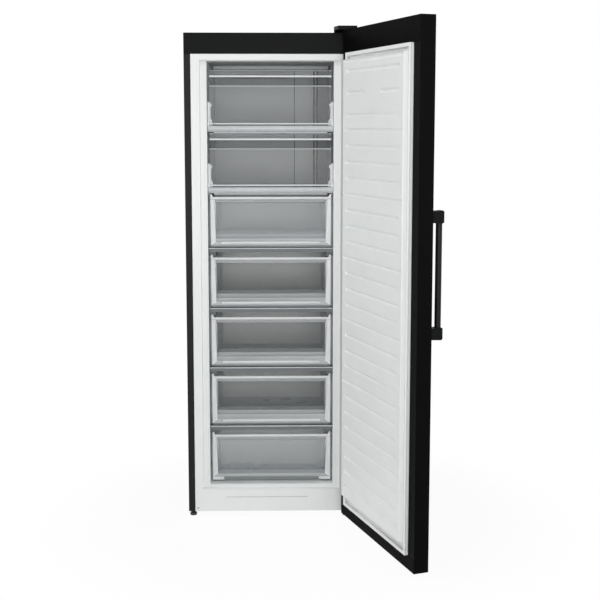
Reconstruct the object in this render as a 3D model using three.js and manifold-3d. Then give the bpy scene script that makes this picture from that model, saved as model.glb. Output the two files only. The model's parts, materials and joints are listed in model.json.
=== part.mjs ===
// An upright freezer with its door standing open: five clear drawers, two clear flaps above them,
// glass shelves, a foamed cabinet and door, and the cooling parts behind and below.
// Millimetres, +Z up. The freezer faces -Y and its door is hinged on the right, at +X.
// Every piece is modelled with the cabinet's front plane at y = 0 and its middle at x = 0,
// and the whole is moved sideways at the end so that its origin is below the middle of its box.

import * as THREE from "three";
import { mergeVertices } from "three/addons/utils/BufferGeometryUtils.js";
import Module from "manifold-3d";

const wasm = await Module();
wasm.setup();

// ---- Driving dimensions ----

const GAP = 0.3; // between pieces that touch
const RUNNING = 0.1; // round a shaft that turns in its hole
const SHEET = 1; // steel sheet
const HALF_WIDTH = 297.5; // of cabinet and door
const DEPTH = 586; // cabinet, front plane to back panel
const BOTTOM = 17; // underside of the cabinet
const TOP = 1713; // top of the cabinet
const ORIGIN_X = 116; // how far the middle of the whole box lies right of the cabinet's middle

const FRONT_RETURN = 23; // width of the side panels' front edge
const REAR_RETURN = 12;
const HEADER_LOW = 1641; // lower edge of the dark header
const HEADER_DEPTH = 60;

const LINER_WALL = 2.5;
const MOUTH_HALF = 244; // half the opening's width at the front plane
const THROAT_HALF = 220.5; // half the width inside
const STEP_Y = 16; // where the mouth steps in; the closed door's raised middle ends in front of it
const MOUTH_TOP = 1620.5;
const CEILING = 1618;
const SILL_FRONT = 100; // floor of the mouth, in front of the step
const FLOOR = 112;
const LINER_BACK = 532;
const HUMP_Y = 240; // the floor steps up here, over the machine bay
const HUMP_TOP = 296;

const BAY_Y = 290; // machine bay: from here to the back
const BAY_TOP = 245;
const FOAM_BACK = 577;

const SHELF_TOPS = [1390, 1175, 960, 745, 530, 315];
const GLASS = 4;
const SHELF_HALF = 218.5;
const SHELF_FRONT = 80; // where the ribs under a shelf begin
const SHELF_BACK = 468;
const DUCT_Y = 475; // front of the back wall panel

const FRONT_Y = 45; // plane of the drawer fronts and flaps
const FRONT_HALF = 213;
const TUB_HALF = 200;
const TUB_WALL = 2.5;

const DOOR_BACK = -12; // inner face of the closed door
const DOOR_THICKNESS = 50;
const DOOR_FRONT = DOOR_BACK - DOOR_THICKNESS;
const DOOR_LOW = 17;
const DOOR_HIGH = 1719;
const HINGE = { x: 278, y: -35 };
const DOOR_OPEN = 109; // degrees, as it stands
const CAP_LOW = 63; // upper edge of the bottom end cap
const CAP_HIGH = 1640; // lower edge of the top end cap
const SEAL_HALF = 253.5; // half the gasket's outer width
const SEAL_BAND = 12.5;
const SEAL_LOW = 62;
const SEAL_HIGH = 1641;
const PLUG_HALF = 239; // the raised middle of the door liner
const PLUG_LOW = 103;
const PLUG_HIGH = 1617;
const PLUG_HEIGHT = 25;
const PIN_R = 5;

const HANDLE_INSET = 40; // from the door's free edge
const HANDLE_R = 10;
const HANDLE_OFF = 39.5; // from the door's face to the bar's middle
const HANDLE_LOW = 742;
const HANDLE_HIGH = 1141;
const BRACKET_TALL = 40;

const COLOUR = {
  black: 0x1d1e1f,
  white: 0xe2e4e4,
  grey: 0xb9bcbe,
  clear: 0xc9cdcf,
  glass: 0xb8c2c4,
  steel: 0x9a9da0,
  foam: 0xe3d9a8,
  rubber: 0x2b2c2d,
  board: 0x2f6b45,
  copper: 0xb87347,
};

// ---- Solids ----

const X = new THREE.Vector3(1, 0, 0);
const Y = new THREE.Vector3(0, 1, 0);
const Z = new THREE.Vector3(0, 0, 1);
const degrees = THREE.MathUtils.degToRad;

/** A closed geometry as a solid that can be joined and cut. */
function solid(geometry) {
  const bare = geometry.clone();
  bare.deleteAttribute("normal");
  bare.deleteAttribute("uv");
  const merged = mergeVertices(bare, 1e-4);
  return new wasm.Manifold(
    new wasm.Mesh({
      numProp: 3,
      vertProperties: merged.attributes.position.array,
      triVerts: new Uint32Array(merged.index.array),
    }),
  );
}

/** The surface of a solid, with flat faces. */
function surface(body) {
  const mesh = body.getMesh();
  const geometry = new THREE.BufferGeometry();
  geometry.setAttribute("position", new THREE.BufferAttribute(mesh.vertProperties, 3));
  geometry.setIndex(new THREE.BufferAttribute(mesh.triVerts, 1));
  const faceted = geometry.toNonIndexed();
  faceted.computeVertexNormals();
  return faceted;
}

function box([x0, x1], [y0, y1], [z0, z1]) {
  const geometry = new THREE.BoxGeometry(x1 - x0, y1 - y0, z1 - z0);
  return solid(geometry.translate((x0 + x1) / 2, (y0 + y1) / 2, (z0 + z1) / 2));
}

function extrusion(outline, length) {
  const shape = new THREE.Shape(outline.map(([a, b]) => new THREE.Vector2(a, b)));
  return new THREE.ExtrudeGeometry(shape, { depth: length, bevelEnabled: false });
}

/** A plan outline of [x, y] points, raised from z0 to z1. */
const alongZ = (outline, z0, z1) => solid(extrusion(outline, z1 - z0).translate(0, 0, z0));

/** A side outline of [y, z] points, stretched from x0 to x1. */
function alongX(outline, x0, x1) {
  const turn = new THREE.Matrix4().makeBasis(Y, Z, X).setPosition(x0, 0, 0);
  return solid(extrusion(outline, x1 - x0).applyMatrix4(turn));
}

/** A front outline of [x, z] points, stretched from y0 to y1. */
function alongY(outline, y0, y1) {
  const turn = new THREE.Matrix4().makeBasis(X, Z, Y.clone().negate()).setPosition(0, y1, 0);
  return solid(extrusion(outline, y1 - y0).applyMatrix4(turn));
}

/** A rectangular tunnel through sections of [y, half width, low, high], from front to back. */
function tunnel(sections) {
  const positions = sections.flatMap(([y, half, low, high]) => [
    [-half, y, low],
    [half, y, low],
    [half, y, high],
    [-half, y, high],
  ]);
  const index = [0, 1, 2, 0, 2, 3];
  for (let first = 0; first + 4 < positions.length; first += 4)
    for (let corner = 0; corner < 4; corner++) {
      const a = first + corner;
      const b = first + ((corner + 1) % 4);
      index.push(a, b + 4, b, a, a + 4, b + 4);
    }
  const last = positions.length - 4;
  index.push(last, last + 2, last + 1, last, last + 3, last + 2);
  const geometry = new THREE.BufferGeometry();
  geometry.setAttribute("position", new THREE.Float32BufferAttribute(positions.flat(), 3));
  geometry.setIndex(index);
  return solid(geometry);
}

/** A turned piece: [radius, height] points from the lower end of its axis to the upper one. */
function turned(outline, sides = 16) {
  const points = outline.map(([r, h]) => new THREE.Vector2(r, h));
  return solid(new THREE.LatheGeometry(points, sides).rotateX(Math.PI / 2));
}

const rod = (r, low, high, sides = 16) => turned([[0, low], [r, low], [r, high], [0, high]], sides);
const at = (body, x, y, z = 0) => body.translate([x, y, z]);
const uprightRod = (x, y, r, z0, z1, sides) => at(rod(r, z0, z1, sides), x, y);

/** A rod that lies along X. */
const crossRod = (y, z, r, x0, x1, sides) => at(rod(r, x0, x1, sides).rotate([0, 90, 0]), 0, y, z);

/** Straight runs between [x, y, z] corners, joined by bends of one radius. */
function roundedPath(points, bend) {
  const path = new THREE.CurvePath();
  const corners = points.map((p) => new THREE.Vector3(...p));
  const towards = (corner, other) => other.clone().sub(corner).setLength(bend).add(corner);
  let from = corners[0];
  for (let i = 1; i + 1 < corners.length; i++) {
    const before = towards(corners[i], corners[i - 1]);
    const after = towards(corners[i], corners[i + 1]);
    path.add(new THREE.LineCurve3(from, before));
    path.add(new THREE.QuadraticBezierCurve3(before, corners[i], after));
    from = after;
  }
  path.add(new THREE.LineCurve3(from, corners[corners.length - 1]));
  return path;
}

/** A round tube along such a path. */
function tube(points, r, bend, steps) {
  const section = new THREE.Shape();
  section.absarc(0, 0, r, 0, 2 * Math.PI);
  const extrudePath = roundedPath(points, bend);
  return solid(new THREE.ExtrudeGeometry(section, { steps, curveSegments: 3, extrudePath }));
}

const union = (first, ...rest) => rest.reduce((sum, body) => sum.add(body), first);
const both = (make) => union(make(-1), make(1));

function piece(group, name, body, colour, roughness = 0.5, metalness = 0) {
  const material = new THREE.MeshStandardMaterial({ color: colour, roughness, metalness });
  const mesh = new THREE.Mesh(surface(body), material);
  mesh.name = name;
  group.add(mesh);
}

// ---- Cabinet ----

/** The space inside the liner, grown on all sides by a margin. */
function cavity(margin) {
  const half = THROAT_HALF + margin;
  const room = box([-half, half], [0, LINER_BACK + margin], [FLOOR - margin, CEILING + margin]);
  const hump = box([-300, 300], [HUMP_Y + margin, DEPTH], [0, HUMP_TOP - margin]);
  const wide = MOUTH_HALF + margin;
  const mouth = box([-wide, wide], [-5, STEP_Y + margin], [SILL_FRONT - margin, MOUTH_TOP + margin]);
  return room.subtract(hump).add(mouth);
}

const FLANGE_HALF = HALF_WIDTH - FRONT_RETURN - GAP;

function innerLiner() {
  const skin = cavity(LINER_WALL).intersect(box([-300, 300], [0, DEPTH], [0, TOP]));
  const flange = box([-FLANGE_HALF, FLANGE_HALF], [0, LINER_WALL], [SILL_FRONT, HEADER_LOW]);
  const shell = skin.add(flange).subtract(cavity(0));
  return SHELF_TOPS.reduce((sum, top) => sum.add(both((side) => shelfLedge(side, top))), shell);
}

/** The rib on the liner's wall that a glass shelf lies on. */
function shelfLedge(side, top) {
  const xs = [side * (THROAT_HALF + 1), side * 207].sort((a, b) => a - b);
  const high = top - GLASS - GAP;
  return box(xs, [SHELF_FRONT, SHELF_BACK], [high - 7, high]);
}

function cabinetFoam() {
  const wide = HALF_WIDTH - SHEET - GAP;
  const block = box([-wide, wide], [SHEET + GAP, FOAM_BACK], [BOTTOM + 1.5 + GAP, TOP - SHEET - GAP]);
  const flangeRoom = box(
    [-FLANGE_HALF - GAP, FLANGE_HALF + GAP],
    [-5, LINER_WALL + GAP],
    [0, HEADER_LOW + GAP],
  );
  const headerRoom = box([-300, 300], [-5, HEADER_DEPTH + GAP], [HEADER_LOW, TOP + 5]);
  const bay = box([-300, 300], [BAY_Y - SHEET - GAP, DEPTH], [0, BAY_TOP + SHEET + GAP]);
  const footRoom = both((side) => uprightRod(side * FOOT.x, FOOT.y, FOOT.stem + 2, 0, 46));
  return [cavity(LINER_WALL + GAP), flangeRoom, headerRoom, bay, footRoom].reduce(
    (left, cut) => left.subtract(cut),
    block,
  );
}

function sidePanel(side) {
  const outer = side * HALF_WIDTH;
  const inner = side * (HALF_WIDTH - SHEET);
  const frontEdge = side * (HALF_WIDTH - FRONT_RETURN);
  const rearEdge = side * (HALF_WIDTH - REAR_RETURN);
  const sheet = alongZ(
    [
      [outer, 0],
      [frontEdge, 0],
      [frontEdge, SHEET],
      [inner, SHEET],
      [inner, DEPTH - SHEET],
      [rearEdge, DEPTH - SHEET],
      [rearEdge, DEPTH],
      [outer, DEPTH],
    ],
    BOTTOM,
    TOP,
  );
  const headerRoom = box(
    [-HALF_WIDTH + SHEET, HALF_WIDTH - SHEET],
    [-5, HEADER_DEPTH],
    [HEADER_LOW, TOP + 5],
  );
  return sheet.subtract(headerRoom);
}

/** Back sheet: down the back, forward over the machine bay and down the bay's front wall. */
function backPanel() {
  const wide = HALF_WIDTH - REAR_RETURN - GAP;
  const y = DEPTH - SHEET;
  return alongX(
    [
      [DEPTH, TOP - SHEET - GAP],
      [y, TOP - SHEET - GAP],
      [y, BAY_TOP + SHEET],
      [BAY_Y - SHEET, BAY_TOP + SHEET],
      [BAY_Y - SHEET, BOTTOM + 2],
      [BAY_Y, BOTTOM + 2],
      [BAY_Y, BAY_TOP],
      [DEPTH, BAY_TOP],
    ],
    -wide,
    wide,
  );
}

function basePlate() {
  const wide = HALF_WIDTH - SHEET - GAP;
  const plate = box([-wide, wide], [LINER_WALL + 3, DEPTH - SHEET - GAP], [BOTTOM, BOTTOM + 1.5]);
  const footHoles = both((side) => uprightRod(side * FOOT.x, FOOT.y, FOOT.stem + 1, 0, 30));
  const rollerHoles = both((side) =>
    box([side * ROLLER.x - 14, side * ROLLER.x + 14], [ROLLER.y - 16, ROLLER.y + 16], [0, 30]),
  );
  return plate.subtract(footHoles).subtract(rollerHoles);
}

function frontHeader() {
  const wide = HALF_WIDTH - SHEET - GAP;
  const wall = 3;
  const shell = box([-wide, wide], [0, HEADER_DEPTH], [HEADER_LOW + GAP, TOP]);
  const hollow = box(
    [-wide + wall, wide - wall],
    [wall, HEADER_DEPTH + 5],
    [HEADER_LOW + GAP + wall, TOP - wall],
  );
  return shell.subtract(hollow);
}

function plinthPanel() {
  const high = SILL_FRONT - LINER_WALL - GAP;
  const panel = box([-FLANGE_HALF, FLANGE_HALF], [0, LINER_WALL], [BOTTOM, high]);
  const screwHole = box([-267, -261], [-5, 5], [26, 32]);
  return panel.subtract(screwHole);
}

function buildCabinet(group) {
  piece(group, "side_panel_left", sidePanel(-1), COLOUR.black, 0.45);
  piece(group, "side_panel_right", sidePanel(1), COLOUR.black, 0.45);
  const wide = HALF_WIDTH - SHEET - GAP;
  const topPanel = box([-wide, wide], [HEADER_DEPTH + GAP, DEPTH - SHEET - GAP], [TOP - SHEET, TOP]);
  piece(group, "top_panel", topPanel, COLOUR.black, 0.45);
  piece(group, "back_panel", backPanel(), COLOUR.steel, 0.5, 0.6);
  piece(group, "base_plate", basePlate(), COLOUR.steel, 0.5, 0.6);
  piece(group, "cabinet_foam", cabinetFoam(), COLOUR.foam, 0.9);
  piece(group, "inner_liner", innerLiner(), COLOUR.white, 0.35);
  piece(group, "front_header", frontHeader(), COLOUR.black, 0.4);
  piece(group, "plinth_panel", plinthPanel(), COLOUR.white, 0.4);
}

// ---- Shelves, back wall and lamp ----

const TRIM = { back: FRONT_Y - GAP, front: 37, half: 219.6 };
const PIVOT = { y: 43.5, up: 13, r: 3 }; // of a flap, above its shelf

function slimTrim(top) {
  return alongX(
    [
      [TRIM.front + 3, top + 1.5],
      [TRIM.front, top - 1],
      [TRIM.front, top - 9],
      [TRIM.back + 30, top - 9],
      [TRIM.back + 30, top - 6],
      [TRIM.back, top - 6],
      [TRIM.back, top + 1.5],
    ],
    -TRIM.half,
    TRIM.half,
  );
}

/** The tall trim below a flap, with an upright and a pivot ear at each end. */
function flapTrim(top) {
  const bar = alongX(
    [
      [TRIM.front - 1, top + 7],
      [TRIM.front - 3, top + 4],
      [TRIM.front - 3, top - 10],
      [TRIM.front + 2, top - 15],
      [TRIM.back, top - 15],
      [TRIM.back, top + 7],
    ],
    -TRIM.half,
    TRIM.half,
  );
  const upright = both((side) =>
    alongY(
      [
        [side * TRIM.half, top + 1.5],
        [side * TRIM.half, top + 92],
        [side * 213, top + 90],
        [side * 209, top + 82],
        [side * 209, top + 22],
        [side * 203, top + 12],
        [side * 203, top + 1.5],
      ],
      FRONT_Y + 5,
      FRONT_Y + 21,
    ),
  );
  const foot = both((side) => {
    const xs = [side * 203, side * TRIM.half].sort((a, b) => a - b);
    return box(xs, [TRIM.back - 2, FRONT_Y + 21], [top + 1, top + 5]);
  });
  const ear = both((side) => {
    const xs = [side * (FRONT_HALF + 0.8), side * TRIM.half].sort((a, b) => a - b);
    return box(xs, [TRIM.front, FRONT_Y + 21], [top + 1, top + 21]);
  });
  const bore = crossRod(PIVOT.y, top + PIVOT.up, PIVOT.r + RUNNING, -TRIM.half - 5, TRIM.half + 5, 24);
  return union(bar, upright, foot, ear).subtract(bore);
}

function buildShelves(group) {
  SHELF_TOPS.forEach((top, i) => {
    const glass = box([-SHELF_HALF, SHELF_HALF], [TRIM.back + 32, SHELF_BACK], [top - GLASS, top]);
    const front = box([-SHELF_HALF + 18, SHELF_HALF - 18], [FRONT_Y, TRIM.back + 40], [top - GLASS, top]);
    piece(group, `glass_shelf_${i + 1}`, glass.add(front), COLOUR.glass, 0.1);
    const trim = i < 2 ? flapTrim(top) : slimTrim(top - GAP);
    piece(group, `shelf_trim_${i + 1}`, trim, COLOUR.grey, 0.35);
  });
}

/** The back wall panel: a plain sheet with a raised vertical band, ribs and a small bulge. */
function ductCover() {
  const low = HUMP_TOP + 4;
  const high = CEILING - 3;
  const sheet = box([-THROAT_HALF + 1, THROAT_HALF - 1], [DUCT_Y, DUCT_Y + 3], [low, high]);
  const band = box([91, 153], [DUCT_Y - 5, DUCT_Y + 1], [low, high]);
  const ribs = [165, 178].map((x) => box([x - 2, x + 2], [DUCT_Y - 4, DUCT_Y + 1], [low, high]));
  const bulge = box([103, 147], [DUCT_Y - 6.7, DUCT_Y], [1249, 1305]);
  const fanHole = at(rod(FAN.r + 4, -20, 20, 24).rotate([90, 0, 0]), FAN.x, DUCT_Y, FAN.z);
  const slots = [1578, 1589, 1600].map((z) => box([-150, 60], [DUCT_Y - 5, DUCT_Y + 5], [z, z + 5]));
  return union(sheet, band, bulge, ...ribs).subtract(union(...slots, fanHole));
}

// ---- Cooling ----

const FAN = { x: -20, z: 385, r: 42 };

function evaporator() {
  const fins = 17;
  const pitch = 21;
  const first = -((fins - 1) * pitch) / 2;
  const header = box([first - 1.5, -first + 1.5], [505, 511], [455, 725]);
  const fin = (i) => box([first + i * pitch - 1.5, first + i * pitch + 1.5], [486, 528], [455, 725]);
  return union(header, ...Array.from({ length: fins }, (_, i) => fin(i)));
}

function defrostHeater() {
  return tube(
    [
      [-170, 507, 446],
      [-170, 507, 432],
      [170, 507, 432],
      [170, 507, 446],
    ],
    4,
    8,
    24,
  );
}

/** The condenser tube: one serpentine in the gap behind the foam. */
function condenser() {
  const runs = 9;
  const y = (FOAM_BACK + DEPTH - SHEET) / 2;
  const low = 300;
  const high = 1640;
  const points = [];
  for (let run = 0; run < runs; run++) {
    const x = -240 + run * 60;
    const ends = run % 2 ? [high, low] : [low, high];
    points.push([x, y, ends[0]], [x, y, ends[1]]);
  }
  return tube(points, 2.5, 26, 110);
}

function compressor() {
  const pot = turned(
    [
      [0, 0],
      [72, 0],
      [86, 16],
      [90, 50],
      [90, 84],
      [78, 122],
      [48, 146],
      [0, 152],
    ],
    20,
  );
  const foot = box([-105, 105], [-75, 75], [-4, 4]);
  return at(pot.add(foot), 70, 430, BOTTOM + 12);
}

function dripTray() {
  const outer = box([-20, 160], [365, 495], [184, 214]);
  return outer.subtract(box([-17, 157], [368, 492], [187, 220]));
}

function fanMotor() {
  const can = at(rod(20, 0, 26, 20).rotate([90, 0, 0]), FAN.x, 524, FAN.z);
  const shaft = at(rod(2, 0, 15, 10).rotate([90, 0, 0]), FAN.x, 499, FAN.z);
  const legs = box([FAN.x - 50, FAN.x + 50], [518, 524], [FAN.z - 6, FAN.z + 6]);
  return union(can, shaft, legs);
}

/** A hub with five pitched blades, turning on the motor's shaft. */
function fanImpeller() {
  const hub = at(rod(13, -8, 8, 20).rotate([90, 0, 0]), 0, 0, 0);
  const blade = (i) =>
    box([10, FAN.r], [-0.8, 0.8], [-13, 13]).rotate([32, 0, 0]).rotate([0, 72 * i, 0]);
  const bore = rod(2.4, -12, 6, 16).rotate([90, 0, 0]);
  const wheel = union(hub, ...[0, 1, 2, 3, 4].map(blade)).subtract(bore);
  return at(wheel, FAN.x, 489, FAN.z);
}

function controlBoard() {
  const board = box([120, 240], [14, 54], [1655, 1656.6]);
  const relay = box([132, 160], [20, 40], [1656, 1674]);
  const transformer = box([180, 225], [18, 50], [1656, 1682]);
  return union(board, relay, transformer);
}

function mainsInlet() {
  const block = box([-225, -180], [552, 580], [BOTTOM + 1.5 + GAP, BOTTOM + 62]);
  return block.subtract(box([-216, -189], [564, 590], [BOTTOM + 25, BOTTOM + 45]));
}

function buildInside(group) {
  piece(group, "duct_cover", ductCover(), COLOUR.grey, 0.5);
  const lampCover = box([-214, 214], [305, 440], [CEILING - 13, CEILING - GAP]);
  piece(group, "lamp_cover", lampCover, COLOUR.clear, 0.3);
  piece(group, "evaporator", evaporator(), COLOUR.steel, 0.4, 0.9);
  piece(group, "defrost_heater", defrostHeater(), COLOUR.steel, 0.4, 0.9);
  piece(group, "condenser_tube", condenser(), COLOUR.copper, 0.4, 0.9);
  piece(group, "compressor", compressor(), COLOUR.rubber, 0.5);
  piece(group, "drip_tray", dripTray(), COLOUR.rubber, 0.6);
  piece(group, "fan_motor", fanMotor(), COLOUR.rubber, 0.5);
  piece(group, "fan_impeller", fanImpeller(), COLOUR.grey, 0.4);
  piece(group, "control_board", controlBoard(), COLOUR.board, 0.6);
  piece(group, "mains_inlet", mainsInlet(), COLOUR.rubber, 0.6);
}

// ---- Feet and rollers ----

const FOOT = { x: 282, y: 14, stem: 4 };
const ROLLER = { x: 250, y: 545, r: 12, axle: 3 };

function levellingFoot(side) {
  const foot = turned(
    [
      [0, 0],
      [11, 0],
      [12.5, 1.5],
      [12.5, 9],
      [6, 10],
      [6, 16],
      [FOOT.stem, 16],
      [FOOT.stem, 40],
      [0, 40],
    ],
    18,
  );
  return at(foot, side * FOOT.x, FOOT.y);
}

function rearRoller(side) {
  const wheel = crossRod(ROLLER.y, ROLLER.r, ROLLER.r, -8, 8, 28);
  const bore = crossRod(ROLLER.y, ROLLER.r, ROLLER.axle + RUNNING, -20, 20, 20);
  return at(wheel.subtract(bore), side * ROLLER.x, 0);
}

/** A fork under the base plate with the roller's axle across it. */
function rollerFork(side) {
  const cheek = (end) =>
    box([end * 10.5 - 1.5, end * 10.5 + 1.5], [ROLLER.y - 9, ROLLER.y + 9], [6, BOTTOM - GAP]);
  const lip = (end) =>
    box([end * 15.5 - 5.5, end * 15.5 + 5.5], [ROLLER.y - 9, ROLLER.y + 9], [BOTTOM - 2.3, BOTTOM - GAP]);
  const axle = crossRod(ROLLER.y, ROLLER.r, ROLLER.axle, -11, 11, 16);
  return at(union(both(cheek), both(lip), axle), side * ROLLER.x, 0);
}

function buildFeet(group) {
  for (const [side, name] of [[-1, "left"], [1, "right"]]) {
    piece(group, `front_foot_${name}`, levellingFoot(side), COLOUR.rubber, 0.6);
    piece(group, `rear_roller_${name}`, rearRoller(side), COLOUR.rubber, 0.6);
    piece(group, `roller_fork_${name}`, rollerFork(side), COLOUR.steel, 0.5, 0.8);
  }
}

// ---- Hinges ----

const HINGE_PLATE = 3;
const TOP_PLATE_Z = DOOR_HIGH + 1.5;

/** A plate screwed to the cabinet's top that steps up and reaches over the door. */
function topHingePlate() {
  return alongX(
    [
      [95, TOP + GAP],
      [95, TOP + GAP + HINGE_PLATE],
      [16, TOP + GAP + HINGE_PLATE],
      [10, TOP_PLATE_Z + HINGE_PLATE],
      [HINGE.y - 9, TOP_PLATE_Z + HINGE_PLATE],
      [HINGE.y - 9, TOP_PLATE_Z],
      [8, TOP_PLATE_Z],
      [12, TOP + GAP],
    ],
    HINGE.x - 26,
    HINGE.x + 11,
  );
}

function bottomHingePlate() {
  const under = BOTTOM - GAP;
  const plate = box([HINGE.x - 24, HINGE.x + 16], [HINGE.y - 9, 60], [under - HINGE_PLATE, under]);
  return plate.subtract(uprightRod(FOOT.x, FOOT.y, 7.5, 0, 30));
}

/** The moulded cover over the upper hinge, open below. */
function hingeCover() {
  const high = TOP + 20;
  const outline = [
    [219, 0],
    [232, -48],
    [296, -48],
    [296, 104],
    [224, 104],
  ];
  const cover = alongZ(outline, TOP + GAP, high);
  const hollow = alongZ(
    [
      [224, 2],
      [236, -44.5],
      [292.5, -44.5],
      [292.5, 100.5],
      [228, 100.5],
    ],
    TOP - 5,
    high - 2.5,
  );
  const doorRoom = box([200, 300], [-60, 3], [TOP - 5, DOOR_HIGH + 1]);
  return cover.subtract(hollow).subtract(doorRoom);
}

function buildHinges(group) {
  piece(group, "hinge_plate_top", topHingePlate(), COLOUR.steel, 0.4, 0.9);
  const topPin = uprightRod(HINGE.x, HINGE.y, PIN_R, DOOR_HIGH - 16, TOP_PLATE_Z - GAP, 20);
  piece(group, "hinge_pin_top", topPin, COLOUR.steel, 0.3, 0.9);
  piece(group, "hinge_cover", hingeCover(), COLOUR.black, 0.4);
  piece(group, "hinge_plate_bottom", bottomHingePlate(), COLOUR.steel, 0.4, 0.9);
  const bottomPin = uprightRod(HINGE.x, HINGE.y, PIN_R, BOTTOM, DOOR_LOW + 18, 20);
  piece(group, "hinge_pin_bottom", bottomPin, COLOUR.steel, 0.3, 0.9);
}

// ---- Drawers and flaps ----

/** A clear drawer: a framed front with a sloping pull in it, and the tub behind. */
function drawer({ base, rim, back, ledge, lip, notch }) {
  const z = (up) => base + up;
  const sideHigh = rim - 22;
  const slopeFoot = FRONT_Y + 68;
  const tub = alongX(
    [
      [FRONT_Y + 1, z(rim - 2)],
      [FRONT_Y + 1, z(ledge - 4)],
      [slopeFoot + 4, z(3)],
      [back - 4, z(3)],
      [back, z(sideHigh)],
      [FRONT_Y + 18, z(sideHigh)],
    ],
    -TUB_HALF,
    TUB_HALF,
  );
  const inside = alongX(
    [
      [FRONT_Y + 6, z(rim + 12)],
      [FRONT_Y + 5, z(rim - 4)],
      [slopeFoot + 3, z(ledge)],
      [slopeFoot + 6, z(3 + TUB_WALL)],
      [back - 4 - TUB_WALL, z(3 + TUB_WALL)],
      [back - TUB_WALL, z(rim + 12)],
    ],
    -TUB_HALF + TUB_WALL,
    TUB_HALF - TUB_WALL,
  );
  const pull = alongX(
    [
      [FRONT_Y - 8, z(rim - 13)],
      [FRONT_Y + 3, z(rim - 13)],
      [slopeFoot - 2, z(ledge + 3)],
      [FRONT_Y - 8, z(ledge + 3)],
    ],
    -TUB_HALF + TUB_WALL,
    TUB_HALF - TUB_WALL,
  );
  const frame = box([-FRONT_HALF, FRONT_HALF], [FRONT_Y, FRONT_Y + 3], [z(lip), z(rim)]);
  const windowCut = alongY(
    [
      [-TUB_HALF, z(rim - 12)],
      [-TUB_HALF + 6, z(ledge + 3)],
      [TUB_HALF - 6, z(ledge + 3)],
      [TUB_HALF, z(rim - 12)],
    ],
    FRONT_Y - 5,
    FRONT_Y + 10,
  );
  const rimBar = box([-FRONT_HALF, FRONT_HALF], [FRONT_Y - 3, FRONT_Y + 6], [z(rim - 12), z(rim)]);
  const post = (side) =>
    alongY(
      [
        [side * FRONT_HALF, z(rim - 1)],
        [side * FRONT_HALF, z(rim + 6)],
        [side * (FRONT_HALF - 4), z(rim + 10)],
        [side * (FRONT_HALF - 14), z(rim + 10)],
        [side * (FRONT_HALF - 14), z(rim - 1)],
      ],
      FRONT_Y,
      FRONT_Y + 6,
    );
  const body = tub.subtract(inside).subtract(pull).add(frame.subtract(windowCut)).add(rimBar).add(both(post));
  const notchCut = box([-172, 172], [FRONT_Y - 8, FRONT_Y + 30], [z(-20), z(notch)]);
  return body.subtract(notchCut);
}

const DRAWER_BACK = 456;
const LOWEST_BACK = 226;

function drawers() {
  const upper = SHELF_TOPS.slice(2).map((top) => ({
    base: top,
    rim: 188,
    back: DRAWER_BACK,
    ledge: 15,
    lip: 9,
    notch: 0,
  }));
  const lowest = { base: FLOOR, rim: 176, back: LOWEST_BACK, ledge: 24, lip: 7, notch: 18 };
  return [...upper, lowest].map(drawer);
}

/** A clear flap, one bent sheet: flat below, a grip fold near its upper edge, a pivot rod below. */
function flap(shelfTop, height) {
  const low = shelfTop + 10.5;
  const z = (down) => low + height - down;
  const sheet = alongX(
    [
      [FRONT_Y, low],
      [FRONT_Y, z(54)],
      [FRONT_Y + 9, z(48)],
      [FRONT_Y + 9, z(28)],
      [FRONT_Y - 3, z(25)],
      [FRONT_Y - 3, z(15)],
      [FRONT_Y, z(13)],
      [FRONT_Y, z(0)],
      [FRONT_Y + 3, z(0)],
      [FRONT_Y + 3, z(12)],
      [FRONT_Y + 12, z(25)],
      [FRONT_Y + 12, z(50)],
      [FRONT_Y + 3, z(56)],
      [FRONT_Y + 3, low],
    ],
    -FRONT_HALF,
    FRONT_HALF,
  );
  const pivotZ = shelfTop + PIVOT.up;
  const pivot = crossRod(PIVOT.y, pivotZ, PIVOT.r, -FRONT_HALF - 5, FRONT_HALF + 5, 16);
  return sheet.add(pivot);
}

function buildMovingInside(group) {
  const heights = [187, 184];
  heights.forEach((height, i) => {
    piece(group, `flap_${i + 1}`, flap(SHELF_TOPS[i], height), COLOUR.clear, 0.1);
  });
  drawers().forEach((body, i) => piece(group, `drawer_${i + 1}`, body, COLOUR.clear, 0.1));
}

// ---- Door, modelled closed ----

function doorSkin() {
  const front = DOOR_FRONT;
  const outer = HALF_WIDTH;
  const inner = HALF_WIDTH - SHEET;
  const lip = SEAL_HALF + 0.5;
  return alongZ(
    [
      [-outer, front],
      [outer, front],
      [outer, DOOR_BACK],
      [lip, DOOR_BACK],
      [lip, DOOR_BACK - SHEET],
      [inner, DOOR_BACK - SHEET],
      [inner, front + SHEET],
      [-inner, front + SHEET],
      [-inner, DOOR_BACK - SHEET],
      [-lip, DOOR_BACK - SHEET],
      [-lip, DOOR_BACK],
      [-outer, DOOR_BACK],
    ],
    DOOR_LOW + 2,
    DOOR_HIGH - 2,
  ).subtract(both((side) => lipRoom(side)));
}

/** Where the end caps take the place of the skin's inner lips. */
function lipRoom(side) {
  const ends = [
    [DOOR_LOW, CAP_LOW + GAP],
    [CAP_HIGH - GAP, DOOR_HIGH],
  ];
  const xs = [side * (HALF_WIDTH - SHEET), side * 200].sort((a, b) => a - b);
  return union(...ends.map((zs) => box(xs, [DOOR_BACK - SHEET, DOOR_BACK + 5], zs)));
}

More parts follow.
